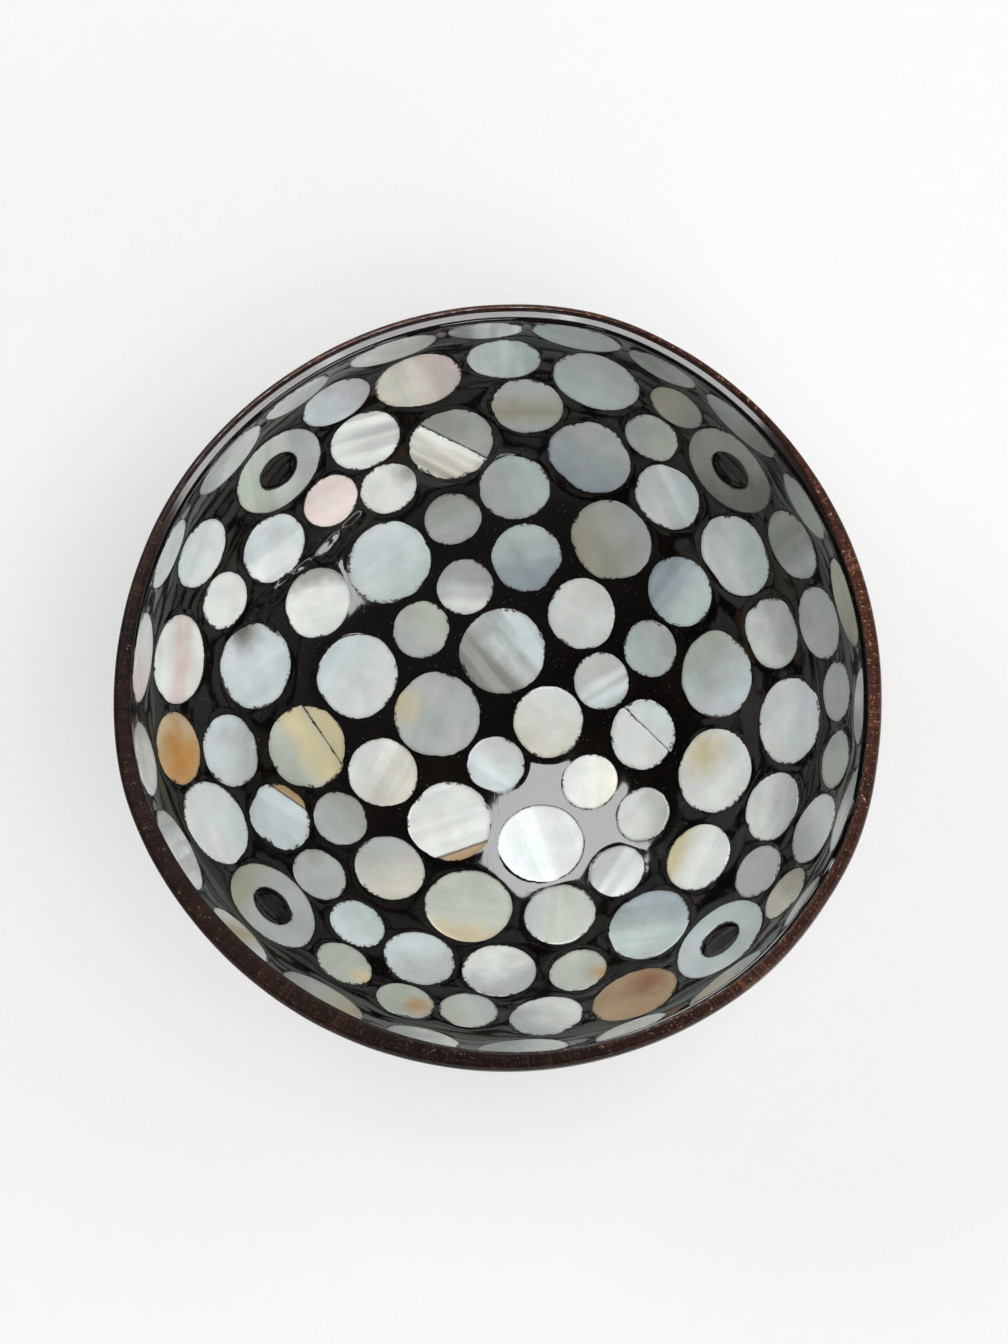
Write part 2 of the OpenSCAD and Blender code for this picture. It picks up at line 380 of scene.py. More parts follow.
class NodeSheet:
    """Lays out the nodes of one shader tree."""

    def __init__(self, tree: bpy.types.NodeTree) -> None:
        """Starts on a tree, which is emptied first."""
        self.tree = tree
        tree.nodes.clear()

    def add(self, kind: str, inputs: dict | None = None, **settings: object) -> bpy.types.Node:
        """Adds a node.

        Args:
            kind: The node's type name, without its ShaderNode prefix unless it is a group's own.
            inputs: Values or sockets by the name or number of the input that they go to.
            **settings: Properties of the node.

        Returns:
            The node.
        """
        name = kind if kind.startswith("NodeGroup") else "ShaderNode" + kind
        node = self.tree.nodes.new(name)
        for key, value in settings.items():
            setattr(node, key, value)
        for key, value in (inputs or {}).items():
            if isinstance(value, Socket):
                self.tree.links.new(value, node.inputs[key])
            else:
                node.inputs[key].default_value = value
        return node

    def math(self, operation: str, first: object, second: object = 0.0) -> Socket:
        """The result of one Math node."""
        return self.add("Math", {0: first, 1: second}, operation=operation).outputs[0]

    def vector(self, operation: str, first: object, second: object) -> Socket:
        """The result of one Vector Math node."""
        return self.add("VectorMath", {0: first, 1: second}, operation=operation).outputs[0]

    def noise(self, place: Socket, scale: float, detail: float = 3, roughness: float = 0.5) -> Socket:
        """A noise value over a place."""
        inputs = {"Vector": place, "Scale": scale, "Detail": detail, "Roughness": roughness}
        return self.add("TexNoise", inputs).outputs["Fac"]

    def stretched(self, place: Socket, scales: tuple[float, float, float], detail: float,
                  roughness: float = 0.5) -> Socket:
        """A noise value over a place, with its own scale along each axis."""
        return self.noise(self.vector("MULTIPLY", place, scales), 1.0, detail, roughness)

    def swing(self, value: Socket, reach: float) -> Socket:
        """A value from 0 to 1, moved to swing to both sides of zero and scaled."""
        return self.math("MULTIPLY", self.math("SUBTRACT", value, 0.5), reach)

    def towards(self, parts: bpy.types.Node, azimuth: float) -> Socket:
        """How far a place or direction lies towards one azimuth.

        Args:
            parts: A Separate XYZ node with the place or direction.
            azimuth: Azimuth in degrees.

        Returns:
            The length along that azimuth.
        """
        turn = math.radians(azimuth)
        first = self.math("MULTIPLY", parts.outputs[0], math.cos(turn))
        return self.math("ADD", first, self.math("MULTIPLY", parts.outputs[1], math.sin(turn)))

    def ramp(self, value: Socket, low: float, high: float, start: float = 0, end: float = 1) -> Socket:
        """A value that goes smoothly from start at low to end at high."""
        inputs = {"Value": value, "From Min": low, "From Max": high, "To Min": start, "To Max": end}
        return self.add("MapRange", inputs, interpolation_type="SMOOTHSTEP").outputs[0]

    def mix(self, share: object, first: object, second: object, blend: str = "MIX") -> Socket:
        """Two colours mixed."""
        node = self.add("Mix", {0: share, 6: first, 7: second}, data_type="RGBA", blend_type=blend)
        return node.outputs[2]

    def shade(self, tone: object, value: Socket) -> Socket:
        """A colour times a value."""
        return self.add("VectorMath", {0: tone, "Scale": value}, operation="SCALE").outputs[0]

    def attribute(self, name: str, output: str) -> Socket:
        """One output of a named attribute of the mesh."""
        return self.add("Attribute", attribute_name=name).outputs[output]


def shader_group(
    name: str, inputs: dict[str, str], outputs: dict[str, str]
) -> tuple[NodeSheet, bpy.types.Node, bpy.types.Node]:
    """Starts a node group.

    Args:
        name: The group's name.
        inputs: Socket kinds by input name, each Float, Color or Vector.
        outputs: Socket kinds by output name.

    Returns:
        The group's sheet, and its input and output nodes.
    """
    tree = bpy.data.node_groups.new(name, "ShaderNodeTree")
    for sockets, way in ((inputs, "INPUT"), (outputs, "OUTPUT")):
        for socket, kind in sockets.items():
            tree.interface.new_socket(socket, in_out=way, socket_type="NodeSocket" + kind)
    sheet = NodeSheet(tree)
    return sheet, sheet.add("NodeGroupInput"), sheet.add("NodeGroupOutput")


class Effects:
    """The shader groups that more than one finish uses, built once."""

    parting_line: str = "#3d2f24"
    glued_rim: str = "#241f1a"

    def __init__(self) -> None:
        """Builds the groups."""
        self.polish = self._polish()
        self.pearl = self._pearl()

    @staticmethod
    def _polish() -> bpy.types.NodeTree:
        """Fine scratches and soft waves in a polished coat, as a height and a roughness.

        Returns:
            The group.
        """
        sheet, given, made = shader_group(
            "polish_marks",
            {"Place": "Vector", "Waves": "Float", "Scratches": "Float", "Roughness": "Float"},
            {"Height": "Float", "Roughness": "Float"},
        )
        place = given.outputs["Place"]
        waves = sheet.math("MULTIPLY", sheet.noise(place, 160, 2, 0.45), given.outputs["Waves"])
        scratch = sheet.ramp(sheet.stretched(place, (2400, 260, 700), 1), 0.62, 0.7)
        marks = sheet.math("MULTIPLY", scratch, given.outputs["Scratches"])
        height = sheet.math("SUBTRACT", waves, sheet.math("MULTIPLY", marks, 0.05))
        dust = sheet.noise(place, 900, 4, 0.6)
        worn = sheet.math("ADD", sheet.math("MULTIPLY", dust, 0.5), 0.75)
        rough = sheet.math("MULTIPLY", worn, given.outputs["Roughness"])
        rough = sheet.math("ADD", rough, sheet.math("MULTIPLY", marks, 0.08))
        sheet.tree.links.new(height, made.inputs["Height"])
        sheet.tree.links.new(rough, made.inputs["Roughness"])
        return sheet.tree

    @classmethod
    def _pearl(cls) -> bpy.types.NodeTree:
        """The figure of a mother-of-pearl blank: two tones, bright bands of painted sheen, growth lines, and
        painted shade at its edge, where lacquer has crept over in places.

        Returns:
            The group. Its Line input draws a dark line where the two tones part.
        """
        sheet, given, made = shader_group(
            "pearl_figure",
            {
                "Grain": "Vector", "Blend": "Float", "Sheen": "Float", "Line": "Float", "Edge": "Float",
                "Tone": "Color", "Second": "Color", "Lustre": "Float",
            },
            {"Color": "Color", "Height": "Float", "Roughness": "Float"},
        )
        grain, line, edge = (given.outputs[name] for name in ("Grain", "Line", "Edge"))
        # Where the second tone shows, with a cloudy edge
        cloud = sheet.noise(grain, 0.3, 3, 0.55)
        steady = sheet.math("SUBTRACT", 1.0, sheet.math("MULTIPLY", line, 0.6))
        drift = sheet.math("MULTIPLY", sheet.swing(cloud, 1.7), steady)
        blend = sheet.math("ADD", given.outputs["Blend"], drift)
        tone = sheet.mix(sheet.ramp(blend, -1, 1), given.outputs["Tone"], given.outputs["Second"])

        # Bright bands of painted sheen, fine growth lines and a wide mottle
        bands = sheet.stretched(grain, (0.34, 0.035, 1), 1, 0.4)
        sheen = sheet.math("MULTIPLY", sheet.ramp(bands, 0.36, 0.64, -0.36, 0.42), given.outputs["Sheen"])
        lines = sheet.stretched(grain, (3.4, 0.5, 1), 2)
        mottle = sheet.swing(sheet.noise(grain, 0.16, 2), 0.5)
        light = sheet.math("ADD", sheet.math("ADD", sheen, sheet.swing(lines, 0.13)), mottle)
        tone = sheet.shade(tone, sheet.math("ADD", light, 1.0))

        # A faint play of green and pink
        hue = sheet.noise(sheet.vector("ADD", grain, (31, 7, 3)), 0.22, 2)
        green = sheet.mix(sheet.ramp(hue, 0.5, 0.66), (1, 1, 1, 1), (0.972, 1.008, 0.998, 1))
        pink = sheet.mix(sheet.ramp(hue, 0.48, 0.34), (1, 1, 1, 1), (1.02, 0.985, 0.992, 1))
        play = sheet.mix(1.0, green, pink, "MULTIPLY")
        tone = sheet.mix(given.outputs["Lustre"], tone, sheet.mix(1.0, tone, play, "MULTIPLY"))

        # The dark line where the tones part
        parted = sheet.math("MULTIPLY", sheet.ramp(sheet.math("ABSOLUTE", blend), 0.6, 0.2), line)
        tone = sheet.mix(sheet.math("MULTIPLY", parted, 0.75), tone, linear(cls.parting_line))

        # Painted shade: each blank is made darker towards its edge, and lacquer has crept over the edge in
        # places
        tone = sheet.shade(tone, sheet.ramp(edge, 0.0, 0.8, 0.84, 1.0))
        fringe = sheet.ramp(sheet.noise(grain, 1.6, 4, 0.7), 0.42, 0.62, 0.06, 0.62)
        patches = sheet.noise(sheet.vector("ADD", grain, (9, 40, 5)), 0.3, 1)
        reach = sheet.math("MULTIPLY", fringe, sheet.ramp(patches, 0.46, 0.6, 0.12, 1.0))
        rim = sheet.ramp(sheet.math("DIVIDE", edge, reach), 0.5, 1.1, 0.94, 0.0)
        tone = sheet.mix(rim, tone, linear(cls.glued_rim))

        height = sheet.math("ADD", sheet.math("MULTIPLY", lines, 0.35), sheet.math("MULTIPLY", cloud, 0.9))
        rough = sheet.ramp(cloud, 0.3, 0.7, 0.3, 0.44)
        for name, socket in (("Color", tone), ("Height", height), ("Roughness", rough)):
            sheet.tree.links.new(socket, made.inputs[name])
        return sheet.tree


def new_material(name: str) -> tuple[bpy.types.Material, NodeSheet]:
    """Starts a node material.

    Args:
        name: The material's name.

    Returns:
        The material and the sheet of its empty tree.
    """
    material = bpy.data.materials.new(name)
    material.use_nodes = True
    return material, NodeSheet(material.node_tree)


@dataclass(frozen=True)
class ShellFinish:
    """Sanded and varnished coconut shell, with lacquer brushed over its rim.

    Painted light: the shell's colour is made paler towards the azimuth of its painted lit side and darker
    away from it, as if lit from there. film_gloss scales its roughness under the film of lacquer, and coat
    is the coat's weight without and with that film.
    """

    dark: str = "#140603"
    middle: str = "#28110a"
    light: str = "#644029"
    fleck: str = "#b48a66"
    varnished: str = "#220d09"
    lacquer: str = "#0b0908"
    painted_lit_side: float = 40
    painted_side_shade: tuple[float, float] = (0.5, 2.5)
    roughness: float = 0.42
    film_gloss: float = 0.18
    coat: tuple[float, float] = (0.02, 0.85)
    coat_roughness: float = 0.16
    ior: float = 1.45
    specular: float = 0.14
    bump: float = 0.35
    relief: float = 0.25 * MM

    def material(self, effects: Effects) -> bpy.types.Material:
        """Builds the finish.

        Args:
            effects: The shared shader groups.

        Returns:
            The material.
        """
        material, sheet = new_material("coconut_shell")
        place = sheet.add("TexCoord").outputs["Object"]
        lay = sheet.attribute("lay", "Vector")
        streaks = sheet.stretched(lay, (46, 46, 16), 5, 0.62)
        fibres = sheet.stretched(lay, (190, 190, 42), 3, 0.6)
        pits = sheet.ramp(sheet.noise(place, 1900, 2), 0.33, 0.27)
        tone = self._grown_tone(sheet, place, (streaks, fibres, pits))
        # Painted light: the shell is made paler towards one side and darker on the far side, as if a lamp lit
        # it from there
        side = sheet.towards(sheet.add("SeparateXYZ", {0: lay}), self.painted_lit_side)
        tone = sheet.shade(tone, sheet.ramp(side, -0.6, 0.9, *self.painted_side_shade))

        # The film brushed over the rim ends in a ragged line, and the lip under it is nearly black
        ragged = sheet.swing(sheet.noise(place, 700, 4, 0.6), 1.1)
        film = sheet.ramp(sheet.math("ADD", sheet.attribute("film", "Fac"), ragged), -0.03, 0.04)
        tone = sheet.mix(film, tone, linear(self.varnished))
        from_lip = sheet.math("ADD", sheet.attribute("lip", "Fac"), sheet.math("MULTIPLY", ragged, 0.5))
        tone = sheet.mix(sheet.ramp(from_lip, 0.2, 0.12), tone, linear(self.lacquer))

        marks = sheet.add("Group", node_tree=effects.polish, inputs={
            "Place": place, "Waves": 0.25, "Scratches": 0.6, "Roughness": self.roughness,
        })
        height = sheet.math("ADD", sheet.math("MULTIPLY", fibres, 0.5), sheet.math("MULTIPLY", streaks, 0.5))
        height = sheet.math("SUBTRACT", height, sheet.math("MULTIPLY", pits, 0.6))
        height = sheet.math("ADD", height, marks.outputs["Height"])
        height = sheet.math("MULTIPLY", height, sheet.math("SUBTRACT", 1.06, film))
        bubbles = sheet.ramp(sheet.noise(place, 1000, 3, 0.6), 0.64, 0.7)
        height = sheet.math("SUBTRACT", height, sheet.math("MULTIPLY", bubbles, film))
        bump = sheet.add("Bump", {"Height": height, "Strength": self.bump, "Distance": self.relief})
        gloss = sheet.ramp(film, 0, 1, 1, self.film_gloss)
        shader = sheet.add("BsdfPrincipled", {
            "Base Color": tone, "Roughness": sheet.math("MULTIPLY", marks.outputs["Roughness"], gloss),
            "Normal": bump.outputs[0],
            "Coat Weight": sheet.ramp(film, 0, 1, *self.coat), "Coat Roughness": self.coat_roughness,
            "IOR": self.ior, "Specular IOR Level": self.specular,
        })
        sheet.add("OutputMaterial", {"Surface": shader.outputs[0]})
        return material

    def _grown_tone(self, sheet: NodeSheet, place: Socket, marks: tuple[Socket, Socket, Socket]) -> Socket:
        """The bare shell's colour, with pale flecks where it is cut through.

        Args:
            sheet: The material's sheet.
            place: The place on the shell.
            marks: Values of the streaks, the fibres and the pits.

        Returns:
            The colour.
        """
        streaks, fibres, pits = marks
        blotch = sheet.noise(place, 38, 4, 0.6)
        body = sheet.math("ADD", sheet.math("MULTIPLY", streaks, 0.6), sheet.math("MULTIPLY", blotch, 0.4))
        tone = sheet.mix(sheet.ramp(body, 0.36, 0.56), linear(self.dark), linear(self.middle))
        tone = sheet.mix(sheet.ramp(body, 0.54, 0.72, 0, 0.75), tone, linear(self.light))
        tone = sheet.mix(sheet.ramp(fibres, 0.6, 0.72, 0, 0.7), tone, linear(self.light))
        pores = sheet.noise(sheet.vector("MULTIPLY", place, (1, 1, 0.5)), 1500, 3, 0.6)
        speck = sheet.math("MULTIPLY", sheet.ramp(pores, 0.63, 0.72, 0, 0.6), sheet.attribute("cut", "Fac"))
        tiny = sheet.ramp(sheet.noise(place, 2600, 2), 0.64, 0.7)
        flecks = sheet.math("MAXIMUM", speck, sheet.math("MULTIPLY", tiny, 0.25))
        tone = sheet.mix(flecks, tone, linear(self.fleck))
        return sheet.mix(sheet.math("MULTIPLY", pits, 0.7), tone, linear(self.dark))


@dataclass(frozen=True)
class LacquerFinish:
    """Built-up glossy near-black lacquer."""

    tone: str = "#0a0807"
    worn: str = "#14100c"
    grit: str = "#6b5f4e"
    roughness: float = 0.06
    ior: float = 1.43
    bump: float = 0.3
    relief: float = 0.6 * MM

    def material(self, effects: Effects) -> bpy.types.Material:
        """Builds the finish.

        Args:
            effects: The shared shader groups.

        Returns:
            The material.
        """
        material, sheet = new_material("black_lacquer")
        place = sheet.add("TexCoord").outputs["Object"]
        cloud = sheet.noise(place, 120, 4, 0.6)
        tone = sheet.mix(sheet.ramp(cloud, 0.4, 0.7), linear(self.tone), linear(self.worn))
        grit = sheet.ramp(sheet.noise(place, 2100, 2), 0.68, 0.74)
        tone = sheet.mix(sheet.math("MULTIPLY", grit, 0.5), tone, linear(self.grit))
        marks = sheet.add("Group", node_tree=effects.polish, inputs={
            "Place": place, "Waves": 0.3, "Scratches": 0.15, "Roughness": self.roughness,
        })
        settle = sheet.noise(place, 420, 2, 0.5)
        height = sheet.math("ADD", marks.outputs["Height"], sheet.math("MULTIPLY", settle, 0.02))
        bump = sheet.add("Bump", {"Height": height, "Strength": self.bump, "Distance": self.relief})
        shader = sheet.add("BsdfPrincipled", {
            "Base Color": tone, "Roughness": marks.outputs["Roughness"], "Normal": bump.outputs[0],
            "IOR": self.ior,
        })
        sheet.add("OutputMaterial", {"Surface": shader.outputs[0]})
        return material


@dataclass(frozen=True)
class NacreFinish:
    """Polished mother-of-pearl under varnish. The tones come from each blank."""

    name: str
    slot: str
    lustre: float = 1.0
    metallic: float = 0.02
    ior: float = 1.55
    specular: float = 0.17
    varnish: float = 0.22
    varnish_roughness: float = 0.05
    bump: float = 0.5
    relief: float = 0.12 * MM

    def material(self, effects: Effects) -> bpy.types.Material:
        """Builds the finish.

        Args:
            effects: The shared shader groups.

        Returns:
            The material.
        """
        material, sheet = new_material(self.name)
        figure = sheet.add("SeparateXYZ", {0: sheet.attribute("figure", "Vector")})
        pearl = sheet.add("Group", node_tree=effects.pearl, inputs={
            "Grain": sheet.attribute("grain", "Vector"),
            "Blend": figure.outputs[0], "Sheen": figure.outputs[1], "Line": figure.outputs[2],
            "Edge": sheet.attribute("edge", "Fac"), "Lustre": self.lustre,
            "Tone": sheet.attribute("tone", "Color"), "Second": sheet.attribute("second", "Color"),
        })
        place = sheet.add("TexCoord").outputs["Object"]
        marks = sheet.add("Group", node_tree=effects.polish, inputs={
            "Place": place, "Waves": 0.6, "Scratches": 0.3, "Roughness": 1.0,
        })
        rough = sheet.math("MULTIPLY", pearl.outputs["Roughness"], marks.outputs["Roughness"])
        height = sheet.math("ADD", pearl.outputs["Height"], marks.outputs["Height"])
        bump = sheet.add("Bump", {"Height": height, "Strength": self.bump, "Distance": self.relief})
        shader = sheet.add("BsdfPrincipled", {
            "Base Color": pearl.outputs["Color"], "Roughness": rough, "Normal": bump.outputs[0],
            "Metallic": self.metallic, "Specular IOR Level": self.specular, "IOR": self.ior,
            "Coat Weight": self.varnish, "Coat Roughness": self.varnish_roughness,
        })
        sheet.add("OutputMaterial", {"Surface": shader.outputs[0]})
        return material


def grid_faces(loops: int, around: int, first: int = 0) -> Faces:
    """Faces between closed loops that follow each other.

    Args:
        loops: How many loops there are.
        around: Points in each loop.
        first: Number of the first loop's first point.

    Returns:
        The faces.
    """
    faces = []
    for loop in range(loops - 1):
        low = first + loop * around
        for step in range(around):
            after = (step + 1) % around
            faces.append((low + step, low + after, low + around + after, low + around + step))
    return faces


def fan_faces(middle: int, loop: int, around: int, turned: bool) -> Faces:
    """Faces that close a loop onto one middle point.

    Args:
        middle: Number of the middle point.
        loop: Number of the loop's first point.
        around: Points in the loop.
        turned: Whether the faces look the other way.

    Returns:
        The faces.
    """
    faces = []
    for step in range(around):
        pair = (loop + step, loop + (step + 1) % around)
        faces.append((middle, *pair) if turned else (middle, *reversed(pair)))
    return faces


def make_piece(
    name: str, points: Points, faces: Faces, material: bpy.types.Material
) -> bpy.types.Object:
    """Makes a smooth mesh piece.

    Args:
        name: The piece's name.
        points: Its points.
        faces: Its faces.
        material: Its material.

    Returns:
        The piece.
    """
    mesh = bpy.data.meshes.new(name)
    mesh.from_pydata(points.tolist(), [], faces)
    mesh.validate()
    mesh.polygons.foreach_set("use_smooth", [True] * len(mesh.polygons))
    mesh.materials.append(material)
    piece = bpy.data.objects.new(name, mesh)
    bpy.context.scene.collection.objects.link(piece)
    return piece


def write_attribute(piece: bpy.types.Object, name: str, kind: str, values: Points) -> None:
    """Stores one value for each point of a piece.

    Args:
        piece: The piece.
        name: The attribute's name.
        kind: FLOAT, FLOAT_VECTOR or FLOAT_COLOR.
        values: The values by point.
    """
    key = {"FLOAT": "value", "FLOAT_VECTOR": "vector", "FLOAT_COLOR": "color"}[kind]
    layer = piece.data.attributes.new(name, kind, "POINT")
    layer.data.foreach_set(key, np.asarray(values, dtype=np.float32).ravel())


# A loop of points, and how far the shell is cut through there, from 0 to 1
Ring = tuple[Points, float]


class SubAssembly(Protocol):
    """A part of the bowl that builds its own pieces."""

    def build(self, effects: Effects) -> list[bpy.types.Object]:
        """Builds and dresses the pieces."""
        ...


@dataclass
class CoconutShell:
    """Half a coconut shell, sanded to a level rim and a flat base.

    The tilts are a first and a last angle up from straight down, in degrees, and a count of rings. The
    wall's unevenness fades in between the two tilts of dip_fade.
    lip_w and lip_drop give the lip's worn chamfer where it is bare and where lacquer was brushed over
    it, and film_w gives the film's width there, in millimetres from the lip. thick_side is the azimuth
    and reach in degrees of a thicker side, and how much further in its lip lies. film_turn is the
    azimuth in the middle of the film, which ends within the two angles of film_reach from it.
    """

    form: BowlForm
    finish: ShellFinish = field(default_factory=ShellFinish)
    around: int = 384
    wall_tilts: tuple[float, float, int] = (20, 93, 58)
    inner_tilts: tuple[float, float, int] = (93, 4, 44)
    unevenness: float = 0.06 * MM
    grain_dip: float = 0.02 * MM
    dip_fade: tuple[float, float] = (20, 26)
    lip_w: tuple[float, float] = (0.35 * MM, 1.35 * MM)
    lip_drop: tuple[float, float] = (0.08 * MM, 1.1 * MM)
    lip_clear: float = 0.15 * MM
    thick_side: tuple[float, float, float] = (232, 50, 1.7 * MM)
    film_w: tuple[float, float] = (0.1, 1.5)
    film_turn: float = 94
    film_reach: tuple[float, float] = (76, 48)
    film_depth: float = 1.5 * MM
    base_round: float = 0.35 * MM

    def build(self, effects: Effects) -> list[bpy.types.Object]:
        """Builds and dresses the shell.

        Args:
            effects: The shared shader groups.

        Returns:
            The shell, which stands for its node.
        """
        rings = self._rings()
        loops = [loop for loop, _ in rings]
        cut = [share for _, share in rings]
        points = np.concatenate([np.zeros((1, 3)), *loops, self._floor_middle()])
        faces = fan_faces(0, 1, self.around, True)
        faces += [tuple(reversed(face)) for face in grid_faces(len(loops), self.around, 1)]
        last = 1 + (len(loops) - 1) * self.around
        faces += fan_faces(last + self.around, last, self.around, False)
        piece = make_piece("coconut_shell_body", points, faces, self.finish.material(effects))
        east, north, height = points.T
        radius = np.maximum(np.hypot(east, north), MM)
        lay = np.stack([east / radius, north / radius, height / self.form.rim_z], axis=-1)
        write_attribute(piece, "lay", "FLOAT_VECTOR", lay)
        film, from_lip = self._film(points)
        write_attribute(piece, "film", "FLOAT", film)
        write_attribute(piece, "lip", "FLOAT", from_lip)
        write_attribute(piece, "cut", "FLOAT", np.concatenate([[1.0], np.repeat(cut, self.around), [0.0]]))
        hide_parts("coconut_shell")
        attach(piece, "root")
        return [piece]

    def _coated(self, turns: Points) -> Points:
        """How far the lacquer was brushed over the rim at each azimuth, from 0 to 1."""
        away = np.abs((turns - math.radians(self.film_turn) + math.pi) % (2 * math.pi) - math.pi)
        return soft_step(*np.radians(self.film_reach), away)

    def _thickened(self, turns: Points) -> Points:
        """How much further in the lip lies at each azimuth, where the shell is thicker."""
        return hump(np.degrees(turns), *self.thick_side)

    def _film(self, points: Points) -> tuple[Points, Points]:
        """Where the lacquer was brushed over the rim.

        Args:
            points: The shell's points.

        Returns:
            How far inside the film each point lies, below zero outside it, and how far it is from the
            lip, both in millimetres.
        """
        well_outside, far_from_lip = -1.0, 5.0
        turns = np.arctan2(points[:, 1], points[:, 0])
        lip = self.form.level(turns, self.form.rim_z, self.form.inside, self.form.bed_t)
        from_lip = np.hypot(points[:, 0], points[:, 1]) - np.hypot(lip[:, 0], lip[:, 1])
        from_lip = (from_lip + self._thickened(turns)) / MM
        low, high = self.film_w
        film = low + (high - low) * self._coated(turns) - from_lip
        near = points[:, 2] > self.form.rim_z - self.film_depth
        return np.where(near, film, well_outside), np.where(near, from_lip, far_from_lip)

    def _floor_middle(self) -> Points:
        """The point under the middle of the lacquer."""
        down = np.array([0.0])
        return self.form.rays(down, down, self.form.inside, self.form.bed_t)[0]

    def _rings(self) -> list[Ring]:
        """The whole shell's rings.

        Returns:
            The rings from the middle of the base up the outside, over the rim and down the inside.
        """
        turns = full_turn(self.around)
        wall = self._wall_rings(turns)
        rim = self._rim_rings(turns, wall[-1][0])
        lip = self._lip_rings(turns, rim[-1][0])
        tilts = np.radians(np.linspace(*self.inner_tilts))
        inner = self.form.rays(turns, tilts, self.form.inside, self.form.bed_t)
        inner_cut = [0.5] * 3 + [0.0] * (len(inner) - 3)
        return self._base_rings(turns) + wall + rim + lip + list(zip(inner, inner_cut))

    def _base_rings(self, turns: Points) -> list[Ring]:
        """The flat base and its rounded foot.

        Args:
            turns: Azimuths in radians.

        Returns:
            The rings, from the middle outwards.
        """
        ways = level_ways(turns)
        foot = self.form.level(turns, self.base_round, self.form.outside)
        foot_r = np.hypot(foot[:, 0], foot[:, 1])[:, None]
        rings = [(ways * foot_r * share, 1.0) for share in (0.3, 0.6, 0.85, 0.96)]
        for turn in np.radians((30, 60)):
            inset = self.base_round * (1 - math.sin(turn)) * 3
            rise = self.base_round * (1 - math.cos(turn))
            rings.append((ways * (foot_r - inset) + np.array([0, 0, rise]), 0.7))
        rings.append((foot, 0.3))
        return rings

    def _wall_dip(self, wall: Points) -> Points:
        """How far the sanded wall dips in at each point, which fades out at the foot.

        Args:
            wall: The even wall's points, by ring and azimuth.

        Returns:
            The dips.
        """
        dip = self.unevenness * (0.5 + 0.5 * ripple(wall, 34 * MM, 3))
        dip += self.grain_dip * (1 + ripple(wall, 7 * MM, 4))
        return dip * soft_step(*self.dip_fade, np.linspace(*self.wall_tilts))[:, None]

    def _wall_rings(self, turns: Points) -> list[Ring]:
        """The sanded outside, a little uneven.

        Args:
            turns: Azimuths in radians.

        Returns:
            The rings, from the foot upwards.
        """
        form = self.form
        wall = form.rays(turns, np.radians(np.linspace(*self.wall_tilts)), form.outside)
        inward = np.array([0, 0, form.widest_z]) - wall
        inward /= np.linalg.norm(inward, axis=-1, keepdims=True)
        return [(loop, 0.0) for loop in wall + inward * self._wall_dip(wall)[..., None]]

    def _rim_rings(self, turns: Points, top: Points) -> list[Ring]:
        """The rounded outer edge of the rim.

        Args:
            turns: Azimuths in radians.
            top: The wall's last ring.

        Returns:
            The rings, from the wall inwards.
        """
        form = self.form
        ways = level_ways(turns)
        even_top = form.rays(turns, np.radians([self.wall_tilts[1]]), form.outside)[0]
        dip = np.linalg.norm(top - even_top, axis=-1)[:, None]
        edge = form.level(turns, form.rim_z - form.rim_round, form.outside) - ways * dip
        rings = [((top + edge) / 2, 0.0)]
        for turn in (0, 18, 36, 54, 72, 90):
            inset = form.rim_round * (1 - math.cos(math.radians(turn)))
            rise = form.rim_round * math.sin(math.radians(turn))
            rings.append((edge - ways * inset + np.array([0, 0, rise]), turn / 90))
        return rings

    def _lip_rings(self, turns: Points, outer_lip: Points) -> list[Ring]:
        """The level rim, and the worn chamfer at its inner lip.

        Args:
            turns: Azimuths in radians.
            outer_lip: The last ring of the rim's rounded edge.

        Returns:
            The rings, from the outside inwards.
        """
        form = self.form
        ways = level_ways(turns)
        up = np.array([0, 0, 1.0])
        coated = self._coated(turns)
        lip = form.level(turns, form.rim_z, form.inside, form.bed_t)
        lip = lip - ways * self._thickened(turns)[:, None]
        rings = []
        for share in (0.15, 0.3):
            flat = outer_lip + (lip - outer_lip) * share
            sag = self.grain_dip * (1.6 + ripple(flat, 9 * MM, 8))
            rings.append((flat - up * sag[:, None], 1.0))
        width, drop = (low + (high - low) * coated for low, high in (self.lip_w, self.lip_drop))
        for share in (-0.06, 0.02, 0.1, 0.3, 0.5, 0.7, 0.9, 1):
            past, down = min(share, 0), max(share, 0)
            outset = width * (1 - down) + self.lip_clear - 0.1 * MM * past
            rings.append((lip + ways * outset[:, None] - up * (drop * down)[:, None], 0.9))
        for inset, fall in ((0.05 * MM, 0.1 * MM), (0.0, 0.25 * MM)):
            rings.append((lip + ways * inset - up * (drop + fall)[:, None], 0.6))
        return rings


class Punch(Enum):
    """The punches that the blanks were cut with, by the blank's diameter."""

    SMALL = 10 * MM
    MEDIUM = 12.5 * MM
    LARGE = 15 * MM
    RING = 17 * MM


class Tone(Enum):
    """Colours of the blanks, partly the mother-of-pearl's own colour and partly painted light and shade, each
    set to how bright the blank looks where it lies.
    """

    WHITE = "#e3e6e2"
    ICE = "#d1dadc"
    AQUA = "#c1cdcb"
    SAGE = "#b9bfb4"
    GREY = "#b4b8b5"
    STONE = "#9c9f98"
    SLATE = "#a2adb3"
    LILAC = "#b9b7bc"
    PINK = "#dccdc9"
    CREAM = "#d6d3c6"
    STRAW = "#d5caa3"
    BEIGE = "#c9bb9d"
    OLIVE = "#a8a694"
    TAN = "#b89c73"
    SMOKE = "#77746d"
    AMBER = "#c48c49"
    PEACH = "#b09778"
    RUST = "#946a50"
    ROSE = "#fbece7"


